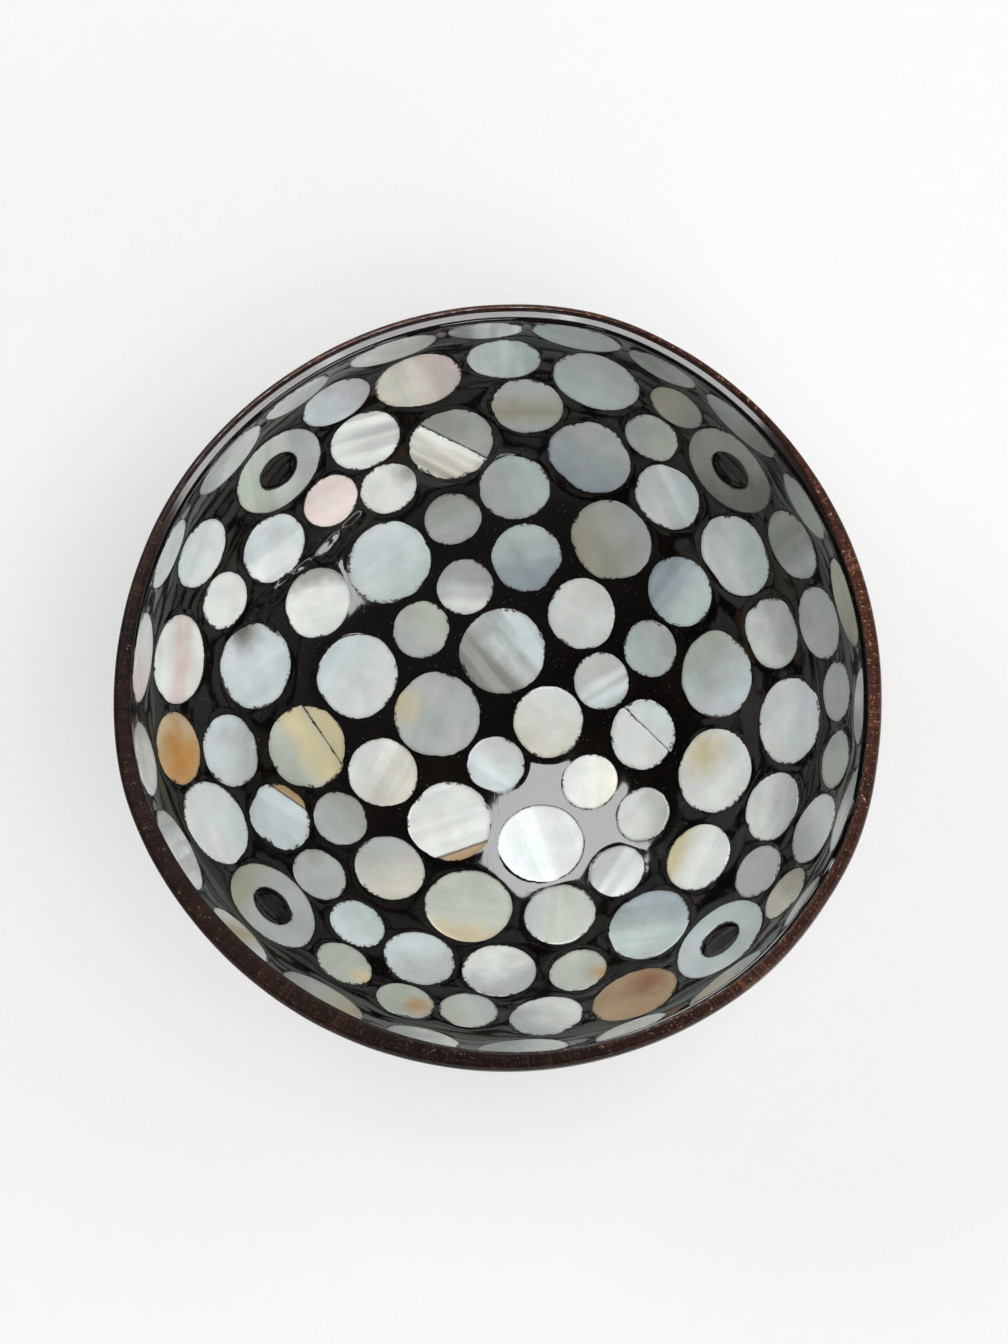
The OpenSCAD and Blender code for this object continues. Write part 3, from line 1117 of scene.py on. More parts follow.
class Figure(Enum):
    """How the second tone lies in a blank.

    The values are where it starts, as a share of the radius, how soft its edge is, how strong its bright
    bands of painted sheen are and how fine.
    """

    CLOUD = (0.1, 0.9, 0.08, 1.0)
    SATIN = (0.2, 0.8, 0.26, 1.0)
    STRIPED = (0.1, 0.6, 0.5, 1.2)
    PATCH = (0.5, 0.28, 0.1, 1.0)
    EDGE = (0.7, 0.08, 0.2, 1.0)
    BAND = (0.1, 0.36, 0.12, 1.0)
    SPOT = (0.5, 0.42, 0.08, 1.0)
    SMEAR = (0.85, 0.36, 0.12, 1.0)
    BLUSH = (0.35, 0.85, 0.06, 1.0)
    SILK = (0.15, 0.5, 0.75, 1.5)


@dataclass(frozen=True)
class Disc:
    """One blank as it was laid, with the second tone showing towards a turn in the top view.

    Its chips are scaled by ragged. Each trim is the azimuth of a flat that was filed or broken off, its
    depth as a share of the radius and its width in degrees.
    """

    azimuth: float
    share: float
    tone: Tone
    second: Tone
    turn: float = 0
    figure: Figure = Figure.CLOUD
    ragged: float = 1.0
    trims: tuple[tuple[float, float, float], ...] = ()


@dataclass(frozen=True)
class Break:
    """A crack right through a blank, and the side of it that a piece keeps, as 1 or -1.

    The crack's turn is in degrees, and its share is how far off the middle it runs, as a share of the
    diameter.
    """

    turn: float
    crack_share: float
    side: int


@dataclass(frozen=True)
class Course:
    """The blanks of one node, all from one punch."""

    node: str
    punch: Punch
    discs: tuple[Disc, ...]
    slot: str = "nacre"
    broken: Break | None = None


# Short names for the rows below
T = Tone
F = Figure

# Each disc's azimuth and share along the wall, its two tones and the turn that the second shows towards,
# then its figure, how ragged it is, and its trims
COURSES = (
    Course("ring_discs", Punch.RING, (
        Disc(45, 0.714, T.STONE, T.SMOKE, 280, F.CLOUD, 0.4),
        Disc(135, 0.722, T.GREY, T.SAGE, 200, F.SATIN, 0.4),
        Disc(222, 0.69, T.GREY, T.OLIVE, 150, F.PATCH, 0.5),
        Disc(311.5, 0.714, T.ICE, T.AQUA, 40, F.CLOUD, 0.4),
    )),
    Course("floor_large_discs", Punch.LARGE, (
        Disc(99, 0.106, T.STONE, T.ICE, 40, F.STRIPED, 1.4),
        Disc(188, 0.143, T.GREY, T.BEIGE, 165, F.SMEAR, 1.4),
    )),
    Course("floor_medium_disc", Punch.MEDIUM, (
        Disc(335, 0.082, T.WHITE, T.CREAM, 250, F.CLOUD),
    )),
    Course("floor_small_discs", Punch.SMALL, (
        Disc(256.5, 0.123, T.ICE, T.GREY, 60, F.SATIN),
        Disc(14, 0.188, T.WHITE, T.ICE, 300, F.STRIPED),
    )),
    Course("low_large_discs", Punch.LARGE, (
        Disc(282.5, 0.29, T.GREY, T.ICE, 200, F.SATIN, 0.6),
        Disc(243.5, 0.268, T.WHITE, T.TAN, 292, F.EDGE, 1.6),
        Disc(169.5, 0.31, T.ICE, T.WHITE, 330, F.CLOUD, 1.2),
    )),
    Course("low_medium_discs", Punch.MEDIUM, (
        Disc(51, 0.229, T.WHITE, T.WHITE, 60, F.CLOUD),
        Disc(209, 0.286, T.WHITE, T.CREAM, 330, F.SATIN),
        Disc(83.5, 0.288, T.SLATE, T.AQUA, 100, F.CLOUD, 1, ((325, 0.12, 24), (200, 0.06, 24))),
    )),
    Course("low_small_discs", Punch.SMALL, (
        Disc(111, 0.25, T.GREY, T.WHITE, 270, F.SATIN),
        Disc(140, 0.231, T.GREY, T.SAGE, 60, F.CLOUD),
        Disc(315.5, 0.216, T.GREY, T.CREAM, 0, F.SATIN),
        Disc(21, 0.304, T.GREY, T.AQUA, 220, F.CLOUD),
        Disc(320, 0.345, T.STONE, T.GREY, 140, F.SATIN, 1.3),
    )),
    Course("middle_large_discs", Punch.LARGE, (
        Disc(130.5, 0.378, T.ICE, T.AQUA, 300, F.CLOUD, 2),
        Disc(57, 0.387, T.GREY, T.OLIVE, 200, F.CLOUD, 1,
             ((48, 0.06, 20), (285, 0.07, 26), (200, 0.04, 20))),
        Disc(7.5, 0.435, T.ICE, T.SAGE, 120, F.CLOUD, 1.1, ((52, 0.09, 22), (120, 0.05, 24))),
        Disc(341.5, 0.448, T.WHITE, T.STRAW, 128, F.SPOT),
        Disc(259, 0.432, T.SAGE, T.BEIGE, 262, F.PATCH),
    )),
    Course("middle_medium_discs", Punch.MEDIUM, (
        Disc(32.5, 0.42, T.SLATE, T.AQUA, 320, F.STRIPED),
        Disc(283.5, 0.453, T.GREY, T.SAGE, 0, F.BAND),
        Disc(234.5, 0.42, T.CREAM, T.GREY, 100, F.CLOUD),
        Disc(152.5, 0.445, T.WHITE, T.STONE, 100, F.PATCH),
        Disc(88.5, 0.435, T.AQUA, T.GREY, 200, F.CLOUD),
    )),
    Course("middle_small_discs", Punch.SMALL, (
        Disc(107, 0.39, T.GREY, T.STONE, 115, F.SATIN),
        Disc(302.5, 0.405, T.GREY, T.GREY, 330, F.STRIPED),
        Disc(215, 0.415, T.GREY, T.STONE, 40, F.CLOUD),
    )),
    Course("high_large_discs", Punch.LARGE, (
        Disc(71, 0.528, T.SLATE, T.GREY, 60, F.CLOUD, 1, ((222, 0.13, 30), (20, 0.07, 24))),
        Disc(32, 0.579, T.AQUA, T.WHITE, 200, F.CLOUD, 1.2,
             ((217, 0.13, 22), (15, 0.09, 20), (98, 0.05, 18))),
        Disc(355.5, 0.615, T.WHITE, T.ICE, 0, F.CLOUD),
        Disc(302, 0.558, T.AQUA, T.SLATE, 90, F.SATIN),
        Disc(172, 0.533, T.ICE, T.SMOKE, 118, F.SMEAR, 1.6, ((60, 0.09, 16), (115, 0.06, 18))),
    )),
    Course("high_medium_discs", Punch.MEDIUM, (
        Disc(51.5, 0.543, T.ICE, T.WHITE, 200, F.SATIN),
        Disc(14, 0.587, T.GREY, T.WHITE, 200, F.CLOUD, 1.4,
             ((125, 0.12, 18), (90, 0.08, 16), (205, 0.06, 24))),
        Disc(338, 0.613, T.WHITE, T.GREY, 0, F.CLOUD),
        Disc(320.5, 0.507, T.WHITE, T.STRAW, 160, F.PATCH, 0.7),
        Disc(268.5, 0.582, T.GREY, T.WHITE, 120, F.CLOUD),
        Disc(251.5, 0.588, T.ICE, T.GREY, 300, F.CLOUD),
        Disc(207.5, 0.53, T.ICE, T.TAN, 62, F.EDGE, 2.4, ((240, 0.13, 26), (150, 0.08, 18))),
        Disc(190.5, 0.588, T.ICE, T.GREY, 350, F.CLOUD, 1.3),
        Disc(147, 0.597, T.ICE, T.WHITE, 300, F.SATIN),
        Disc(118.5, 0.641, T.WHITE, T.WHITE, 280, F.STRIPED),
        Disc(86, 0.625, T.GREY, T.OLIVE, 270, F.BAND),
    )),
    Course("high_small_discs", Punch.SMALL, (
        Disc(325.3, 0.656, T.LILAC, T.GREY, 320, F.CLOUD),
        Disc(284.7, 0.6, T.SAGE, T.TAN, 350, F.SMEAR, 1.6),
        Disc(236.5, 0.574, T.AQUA, T.ICE, 200, F.CLOUD),
        Disc(223, 0.537, T.GREY, T.STONE, 100, F.SMEAR),
        Disc(160.8, 0.646, T.WHITE, T.WHITE, 90, F.CLOUD),
        Disc(131.5, 0.568, T.ROSE, T.PINK, 120, F.CLOUD, 0.5),
        Disc(119.2, 0.512, T.WHITE, T.STONE, 45, F.SMEAR),
        Disc(60.5, 0.64, T.GREY, T.SAGE, 0, F.CLOUD),
    )),
    Course("shoulder_large_discs", Punch.LARGE, (
        Disc(73.7, 0.724, T.GREY, T.AQUA, 250, F.CLOUD),
        Disc(203.5, 0.687, T.WHITE, T.ICE, 20, F.CLOUD),
        Disc(173.5, 0.735, T.WHITE, T.PINK, 0, F.BAND, 1.3),
        Disc(105.2, 0.741, T.CREAM, T.PINK, 20, F.SATIN, 1.3),
    )),
    Course("shoulder_medium_discs", Punch.MEDIUM, (
        Disc(27.5, 0.735, T.STONE, T.GREY, 300, F.SATIN),
        Disc(336.7, 0.755, T.WHITE, T.GREY, 200, F.CLOUD),
        Disc(277.5, 0.724, T.GREY, T.WHITE, 40, F.CLOUD),
        Disc(154.8, 0.763, T.WHITE, T.ICE, 160, F.CLOUD),
        Disc(90, 0.762, T.AQUA, T.ICE, 180, F.SATIN),
        Disc(13, 0.731, T.LILAC, T.GREY, 60, F.CLOUD),
        Disc(119.7, 0.784, T.ICE, T.LILAC, 60, F.CLOUD),
    )),
    Course("shoulder_small_discs", Punch.SMALL, (
        Disc(0.5, 0.76, T.LILAC, T.GREY, 0, F.CLOUD),
        Disc(349, 0.77, T.GREY, T.SAGE, 300, F.CLOUD),
        Disc(324.8, 0.775, T.CREAM, T.OLIVE, 60, F.CLOUD),
        Disc(263.5, 0.704, T.GREY, T.SAGE, 200, F.CLOUD),
        Disc(252, 0.718, T.SAGE, T.TAN, 335, F.SPOT),
        Disc(239, 0.688, T.SAGE, T.STRAW, 320, F.SMEAR),
        Disc(59, 0.755, T.STONE, T.OLIVE, 160, F.CLOUD),
    )),
    Course("rim_large_discs", Punch.LARGE, (
        Disc(14.5, 0.885, T.OLIVE, T.CREAM, 100, F.CLOUD),
        Disc(48, 0.892, T.STONE, T.GREY, 120, F.CLOUD),
        Disc(78, 0.892, T.GREY, T.AQUA, 180, F.CLOUD),
        Disc(107.5, 0.908, T.GREY, T.WHITE, 180, F.CLOUD),
        Disc(139.5, 0.9, T.WHITE, T.GREY, 200, F.CLOUD),
        Disc(174.5, 0.903, T.WHITE, T.PINK, 270, F.CLOUD),
        Disc(206, 0.868, T.WHITE, T.GREY, 120, F.STRIPED),
        Disc(239.5, 0.86, T.GREY, T.BEIGE, 300, F.CLOUD),
        Disc(273.5, 0.883, T.GREY, T.WHITE, 0, F.CLOUD),
        Disc(308, 0.9, T.BEIGE, T.GREY, 40, F.CLOUD),
        Disc(341, 0.905, T.WHITE, T.GREY, 60, F.CLOUD),
    )),
    Course("rim_medium_discs", Punch.MEDIUM, (
        Disc(31.5, 0.876, T.SAGE, T.GREY, 120, F.CLOUD),
        Disc(63.5, 0.883, T.GREY, T.STONE, 120, F.CLOUD),
        Disc(92.5, 0.907, T.GREY, T.WHITE, 0, F.STRIPED),
        Disc(124.7, 0.912, T.WHITE, T.GREY, 0, F.CLOUD),
        Disc(157.5, 0.905, T.WHITE, T.ICE, 90, F.CLOUD),
        Disc(190.5, 0.88, T.WHITE, T.GREY, 90, F.SATIN),
        Disc(223, 0.87, T.WHITE, T.BEIGE, 120, F.BAND),
        Disc(257, 0.865, T.GREY, T.WHITE, 0, F.CLOUD),
        Disc(291, 0.885, T.WHITE, T.WHITE, 0, F.CLOUD),
        Disc(357.5, 0.9, T.GREY, T.WHITE, 90, F.CLOUD),
    )),
    Course("rim_small_disc", Punch.SMALL, (Disc(325, 0.9, T.WHITE, T.GREY, 60, F.CLOUD),)),
    Course("amber_disc", Punch.MEDIUM, (Disc(189, 0.731, T.BEIGE, T.AMBER, 292, F.BLUSH),), "nacre_amber"),
    Course("peach_disc", Punch.LARGE, (Disc(293.5, 0.728, T.PEACH, T.RUST, 60, F.SPOT),), "nacre_peach"),
    Course("split_disc_bright_half", Punch.LARGE, (Disc(102.5, 0.554, T.WHITE, T.CREAM, 236, F.SILK, 2),),
           "nacre", Break(224, 0.05, -1)),
    Course("split_disc_grey_half", Punch.LARGE, (Disc(102.5, 0.554, T.STONE, T.GREY, 300, F.CLOUD, 2),),
           "nacre", Break(224, 0.05, 1)),
    Course("cream_disc_body", Punch.LARGE, (Disc(192.5, 0.413, T.SAGE, T.STRAW, 40, F.BAND, 1.6),),
           "nacre_cream", Break(115, 0.24, -1)),
    Course("cream_disc_strip", Punch.LARGE, (Disc(192.5, 0.413, T.BEIGE, T.STRAW, 40, F.CLOUD, 2),),
           "nacre_cream", Break(115, 0.24, 1)),
    Course("cracked_disc_left", Punch.MEDIUM, (Disc(347, 0.273, T.WHITE, T.WHITE, 200, F.CLOUD, 2.4),),
           "nacre", Break(330, 0.08, -1)),
    Course("cracked_disc_right", Punch.MEDIUM, (Disc(347, 0.273, T.WHITE, T.ICE, 30, F.CLOUD, 1.8),),
           "nacre", Break(330, 0.08, 1)),
)


@dataclass
class LacquerLining:
    """The built-up black lacquer, with a seat for each disc and a low fillet round it.

    The tilts are a first and a last angle up from straight down, in degrees, and a count of loops. One
    thick run of lacquer follows the places in run, each an azimuth and a share along the wall.
    """

    form: BowlForm
    finish: LacquerFinish = field(default_factory=LacquerFinish)
    around: int = 480
    face_tilts: tuple[float, float, int] = (0.6, 93.2, 190)
    back_tilts: tuple[float, float, int] = (93.2, 2, 40)
    seat_depth: float = 0.55 * MM
    fillet: float = 0.045 * MM
    fillet_reach: float = 0.5 * MM
    sag: float = 0.07 * MM
    back_gap: float = 0.02 * MM
    top_round: float = 0.3 * MM
    run_h: float = 0.22 * MM
    run_w: float = 1.0 * MM
    run: tuple[tuple[float, float], ...] = (
        (129, 0.495), (142, 0.49), (150, 0.52), (157, 0.548), (164, 0.567)
    )

    def build(self, effects: Effects) -> list[bpy.types.Object]:
        """Builds and dresses the lining.

        Args:
            effects: The shared shader groups.

        Returns:
            The lining, which stands for its node.
        """
        form = self.form
        turns = full_turn(self.around)
        behind = form.bed_t - self.back_gap
        face = self._settled(form.rays(turns, np.radians(np.linspace(*self.face_tilts)), form.inside))
        top = self._top_edge(turns, face[-1])
        back = form.rays(turns, np.radians(np.linspace(*self.back_tilts)), form.inside, behind)
        loops = np.concatenate([face, top, back])
        down = np.array([0.0])
        middle = form.rays(down, down, form.inside)[0]
        under = form.rays(down, down, form.inside, behind)[0]
        points = np.concatenate([middle, loops.reshape(-1, 3), under])
        faces = [tuple(reversed(one)) for one in fan_faces(0, 1, self.around, True)]
        faces += grid_faces(len(loops), self.around, 1)
        last = 1 + (len(loops) - 1) * self.around
        faces += fan_faces(last + self.around, last, self.around, True)
        piece = make_piece("lacquer_lining", points, faces, self.finish.material(effects))
        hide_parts("lacquer_bed")
        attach(piece, "root")
        return [piece]

    def _top_edge(self, turns: Points, last: Points) -> Points:
        """The rounded top edge, a little uneven in height as a brushed edge is.

        Args:
            turns: Azimuths in radians.
            last: The face's last loop.

        Returns:
            The edge's loops, from the face to the back.
        """
        form = self.form
        outer = form.level(turns, form.lacquer_top_z, form.inside, form.bed_t - self.back_gap)
        dip = 0.22 * MM * (1 + ripple(outer, 16 * MM, 11)) + 0.06 * MM * (1 + ripple(outer, 4 * MM, 12))
        high = form.lacquer_top_z - dip
        inner = form.level(turns, form.lacquer_top_z, form.inside)
        loops = []
        for turn in (0, 30, 60, 90):
            loop = inner + level_ways(turns) * self.top_round * (1 - math.cos(math.radians(turn)))
            loop[:, 2] = high - self.top_round * (1 - math.sin(math.radians(turn)))
            loops.append(loop)
        outer[:, 2] = high
        return np.stack([(last + loops[0]) / 2, *loops, outer])

    def _run(self, face: Points) -> Points:
        """How high the one thick run of lacquer stands.

        Args:
            face: The face's points, by loop and azimuth.

        Returns:
            The height at each point.
        """
        path = [self.form.on_wall(azimuth, share)[0] for azimuth, share in self.run]
        nearest = np.full(face.shape[:-1], 1.0)
        for start, end in zip(path, path[1:]):
            along = end - start
            share = np.clip((face - start) @ along / (along @ along), 0, 1)
            gap = np.linalg.norm(face - start - share[..., None] * along, axis=-1)
            nearest = np.minimum(nearest, gap)
        uneven = 0.7 + 0.6 * ripple(face, 4 * MM, 23)
        return self.run_h * uneven * np.exp(-(nearest / self.run_w) ** 2)

    def _settled(self, face: Points) -> Points:
        """Sinks the seats, raises the fillets and lets the lacquer settle unevenly.

        Args:
            face: The smooth face's points, by loop and azimuth.

        Returns:
            The moved points.
        """
        edge = self._from_discs(face)
        seat = soft_step(-0.7 * MM, -1.3 * MM, edge) * self.seat_depth
        fillet = self.fillet * np.exp(-np.maximum(edge, 0) / self.fillet_reach) * (edge > -0.7 * MM)
        wave = self.sag * ripple(face, 17 * MM, 21) + 0.006 * MM * ripple(face, 5 * MM, 22)
        out = seat - fillet + wave * soft_step(-0.5 * MM, 1.0 * MM, edge)
        out -= self._run(face) * soft_step(-0.2 * MM, 0.3 * MM, edge)
        way = face - np.array([0, 0, self.form.widest_z])
        way /= np.linalg.norm(way, axis=-1, keepdims=True)
        return face + way * out[..., None]

    def _from_discs(self, face: Points) -> Points:
        """How far points lie outside the nearest disc.

        Args:
            face: The face's points, by loop and azimuth.

        Returns:
            The distances, below zero under a disc.
        """
        edge = np.full(face.shape[:-1], 1.0)
        for course in COURSES:
            for disc in course.discs:
                middle, _ = self.form.on_wall(disc.azimuth, disc.share)
                far = np.linalg.norm(face - middle, axis=-1)
                gap = far - course.punch.value / 2
                if course.punch is Punch.RING:
                    gap = np.maximum(gap, self.form.ring_hole / 2 - far)
                edge = np.minimum(edge, gap)
        return edge


@dataclass(frozen=True)
class Blank:
    """One blank's mesh, and one array for each value that its finish reads."""

    points: Points
    faces: Faces
    values: dict[str, Points]


@dataclass
class NacreInlay:
    """The mother-of-pearl blanks, each bent a little to the bowl where it was pressed down.

    The shares are the places of a blank's loops between its middle, or its hole, and its outline. Each
    kind of chip is the most there are, their depth as a share of the radius and their width in radians.
    """

    form: BowlForm
    around: int = 96
    disc_shares: tuple[float, ...] = (0.16, 0.34, 0.52, 0.68, 0.81, 0.9, 0.965, 1)
    ring_shares: tuple[float, ...] = (0, 0.05, 0.2, 0.5, 0.8, 0.95, 1)
    flatness: float = 0.8
    edge_round: float = 0.07 * MM
    trim: float = 0.02 * MM
    burr: float = 0.04 * MM
    chips: tuple[tuple[int, float, float], ...] = ((4, 0.036, 0.5), (7, 0.02, 0.16), (9, 0.02, 0.07))
    crack_w: float = 0.05 * MM
    crack_wander: float = 0.03 * MM
    crack_waves: float = 1400
    least_ragged: float = 0.3
    attributes: tuple[tuple[str, str], ...] = (
        ("grain", "FLOAT_VECTOR"), ("figure", "FLOAT_VECTOR"), ("edge", "FLOAT"),
        ("tone", "FLOAT_COLOR"), ("second", "FLOAT_COLOR"),
    )
    finishes: tuple[NacreFinish, ...] = (
        NacreFinish("nacre", "nacre"),
        NacreFinish("nacre_amber", "nacre_amber", 0.4, 0.08),
        NacreFinish("nacre_peach", "nacre_peach", 0.4, 0.08),
        NacreFinish("nacre_cream", "nacre_cream", 0.7, 0.1),
    )

    def build(self, effects: Effects) -> list[bpy.types.Object]:
        """Builds and dresses every course.

        Args:
            effects: The shared shader groups.

        Returns:
            One piece for each node of blanks.
        """
        materials = {finish.slot: finish.material(effects) for finish in self.finishes}
        pieces = []
        for number, course in enumerate(COURSES):
            piece = self._course(course, materials[course.slot], 100 * number)
            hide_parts(course.node)
            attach(piece, "root")
            pieces.append(piece)
        return pieces

    def _course(self, course: Course, material: bpy.types.Material, seed: int) -> bpy.types.Object:
        """One node's blanks as one piece.

        Args:
            course: The node's blanks.
            material: Their material.
            seed: Number of the first blank's random numbers.

        Returns:
            The piece.
        """
        blanks = [self._blank(course, disc, seed + number) for number, disc in enumerate(course.discs)]
        faces: Faces = []
        start = 0
        for blank in blanks:
            faces += [tuple(start + corner for corner in face) for face in blank.faces]
            start += len(blank.points)
        points = np.concatenate([blank.points for blank in blanks])
        piece = make_piece(course.node + "_pearl", points, faces, material)
        for name, kind in self.attributes:
            write_attribute(piece, name, kind, np.concatenate([blank.values[name] for blank in blanks]))
        return piece

    def _outline(self, radius: float, disc: Disc, rng: np.random.Generator) -> Points:
        """A punched blank's outline, with its trims and small chips cut into it.

        Args:
            radius: The blank's radius.
            disc: The blank.
            rng: The blank's own random numbers.

        Returns:
            Outline points by angle, in the blank's plane.
        """
        turns = full_turn(self.around)
        cuts = [
            (math.radians(at - disc.azimuth), depth, math.radians(wide)) for at, depth, wide in disc.trims
        ]
        for most, depth, wide in self.chips:
            for _ in range(int(rng.integers(1, most + 1))):
                share, spread = rng.uniform(0.2, 1), rng.uniform(0.6, 1.3)
                cuts.append((rng.uniform(0, 2 * math.pi), depth * share * disc.ragged, wide * spread))
        reach = np.full(self.around, radius - self.trim)
        for at, depth, wide in cuts:
            away = (turns - at + math.pi) % (2 * math.pi) - math.pi
            reach -= radius * depth * np.exp(-(away / wide) ** 2)
        reach -= self.burr * disc.ragged * rng.uniform(0, 1, self.around)
        return flat_loop(turns, reach)

    def _kept(self, outline: Points, course: Course, rng: np.random.Generator) -> Points:
        """The part of an outline on one side of a crack, spaced evenly again.

        Args:
            outline: The whole blank's outline.
            course: The broken blank's course.
            rng: The blank's own random numbers.

        Returns:
            Outline points in the blank's plane.
        """
        broken = course.broken
        turn = math.radians(broken.turn)
        along = np.array([math.cos(turn), math.sin(turn)])
        across = np.array([-math.sin(turn), math.cos(turn)]) * broken.side
        limit = broken.side * broken.crack_share * course.punch.value + self.crack_w / 2
        step = np.roll(outline, -1, axis=0) - outline
        fine = np.stack([outline + step * share for share in (0, 0.25, 0.5, 0.75)], axis=1).reshape(-1, 2)
        run, rise = fine @ along, fine @ across
        half = math.sqrt((course.punch.value / 2) ** 2 - limit ** 2) - self.crack_wander
        wander = 1 + np.sin(run * self.crack_waves + rng.uniform(0, 6))
        cracked = limit + self.crack_wander * wander
        beyond = rise < cracked
        run = np.where(beyond, np.clip(run, -half, half), run)
        rise = np.where(beyond, cracked, rise)
        shape = run[:, None] * along + rise[:, None] * across
        steps = np.linalg.norm(np.roll(shape, -1, axis=0) - shape, axis=1)
        length = np.concatenate([[0], np.cumsum(steps)])
        closed = np.concatenate([shape, shape[:1]])
        even = np.linspace(0, length[-1], self.around, endpoint=False)
        return np.stack([np.interp(even, length, closed[:, axis]) for axis in (0, 1)], axis=-1)

    def _hole(self, rng: np.random.Generator) -> Points:
        """The outline of a ring blank's hole.

        Args:
            rng: The blank's own random numbers.

        Returns:
            Outline points by angle, in the blank's plane.
        """
        turns = full_turn(self.around)
        waves = 1.5 + np.sin(turns * 3 + rng.uniform(0, 6))
        chips = rng.uniform(0, 1, self.around) ** 3
        return flat_loop(turns, self.form.ring_hole / 2 + 0.03 * MM * waves + 0.05 * MM * chips)

    def _blank(self, course: Course, disc: Disc, seed: int) -> Blank:
        """One blank, from its outline to its place on the wall.

        Args:
            course: The blank's course.
            disc: The blank.
            seed: Number that picks its chips and its grain.

        Returns:
            The blank.
        """
        rng = np.random.default_rng(seed + 17)
        radius = course.punch.value / 2
        is_ring = course.punch is Punch.RING
        outer = self._outline(radius, disc, rng)
        if course.broken:
            outer = self._kept(outer, course, rng)
        inner = self._hole(rng) if is_ring else np.broadcast_to(outer.mean(axis=0), outer.shape)

        shares = self.ring_shares if is_ring else self.disc_shares
        under = (1, 0.5, 0) if is_ring else (1, 0.5)
        rim = len(shares) - 1
        face_depth = -self.form.disc_proud
        back_depth = face_depth + self.form.disc_t
        layers = [face_depth] * len(shares) + [back_depth] * len(under)
        for at in ({0, rim} if is_ring else {rim}):
            layers[at] += self.edge_round
        span = np.linalg.norm(outer - inner, axis=1).mean()
        fringe = span / MM / math.sqrt(max(disc.ragged, self.least_ragged))
        inward = [min(share, 1 - share) if is_ring else 1 - share for share in shares]

        plane = np.concatenate([inner + (outer - inner) * share for share in shares + under])
        depths = np.repeat(layers, self.around)
        edge = np.repeat(np.array(inward + [0] * len(under)) * fringe, self.around)
        if not is_ring:
            centre = outer.mean(axis=0)[None]
            plane = np.concatenate([plane, centre, centre])
            depths = np.append(depths, [face_depth, back_depth])
            edge = np.append(edge, [fringe, 0])
        points = self._pressed(plane, depths, slice(rim * self.around, (rim + 1) * self.around), disc)
        values = self._values(plane, radius, disc, rng) | {"edge": edge}
        return Blank(points, self._faces(len(layers), is_ring), values)

    def _faces(self, loops: int, is_ring: bool) -> Faces:
        """The faces of a blank.

        Args:
            loops: How many loops it has.
            is_ring: Whether its loops close round a hole, and not onto two middle points.

        Returns:
            The faces.
        """
        around = self.around
        last = (loops - 1) * around
        faces = grid_faces(loops, around)
        if is_ring:
            for step in range(around):
                after = (step + 1) % around
                faces.append((last + step, last + after, after, step))
        else:
            faces += [tuple(reversed(face)) for face in fan_faces(loops * around, 0, around, True)]
            faces += fan_faces(loops * around + 1, last, around, True)
        return [tuple(reversed(face)) for face in faces]

    def _pressed(self, plane: Points, depths: Points, rim: slice, disc: Disc) -> Points:
        """Seats a blank on the wall, nearly flat and bent a little to the curve.

        Args:
            plane: Points in the blank's plane.
            depths: How far behind the lacquer's face each point goes.
            rim: Which points are the outer loop of its face.
            disc: The blank.

        Returns:
            The points in the bowl.
        """
        middle, axes = self.form.on_wall(disc.azimuth, disc.share)
        level = middle + plane[:, :1] * axes[0] + plane[:, 1:] * axes[1]
        bent = self.form.seated(level, axes[2], depths)
        rise = (bent - middle) @ axes[2]
        rim_rise = rise[rim].mean() + depths[rim.start]
        flat = level + axes[2] * (rim_rise - depths)[:, None]
        return bent + (flat - bent) * self.flatness

    @staticmethod
    def _values(plane: Points, radius: float, disc: Disc, rng: np.random.Generator) -> dict[str, Points]:
        """The values that the pearl finish reads at each point.

        Args:
            plane: Points in the blank's plane.
            radius: The blank's radius.
            disc: The blank.
            rng: The blank's own random numbers.

        Returns:
            One array for each attribute.
        """
        turn = math.radians(disc.turn - disc.azimuth)
        across = plane @ np.array([math.cos(turn), math.sin(turn)])
        along = plane @ np.array([-math.sin(turn), math.cos(turn)])
        # The figure's third value is how strong the blank's bright bands of painted sheen are
        begin, softness, sheen_strength, fine = disc.figure.value
        line = float(disc.figure is Figure.EDGE)
        if disc.figure is Figure.BAND:
            blend = 1 - np.abs(across / radius - begin) / softness
        elif disc.figure in (Figure.SPOT, Figure.SMEAR, Figure.BLUSH):
            blend = 1 - np.hypot(across / radius - begin, along / radius) / softness
        else:
            blend = (across / radius - begin) / softness
        count = len(plane)
        seed = rng.uniform(0, 60)
        columns = {
            "grain": (across / MM * fine + seed, along / MM - seed, np.full(count, seed)),
            "figure": (blend, np.full(count, sheen_strength), np.full(count, line)),
        }
        tones = {"tone": disc.tone, "second": disc.second}
        values = {name: np.stack(column, axis=-1) for name, column in columns.items()}
        return values | {name: np.tile(linear(tone.value), (count, 1)) for name, tone in tones.items()}


class Role(Enum):
    """What a lamp is for."""

    SHINE = "shows in gloss and lights nothing else"
    LIGHT = "lights the surfaces and stays out of the gloss"


@dataclass(frozen=True)
class Lamp:
    """A soft lamp that points at the bowl, with its azimuth and its angle from straight up in degrees.

    It is round, or a strip where it has a second, narrow side.
    """

    name: str
    azimuth: float
    tilt: float
    far: float
    size: float
    power: float
    role: Role
    narrow: float = 0.0


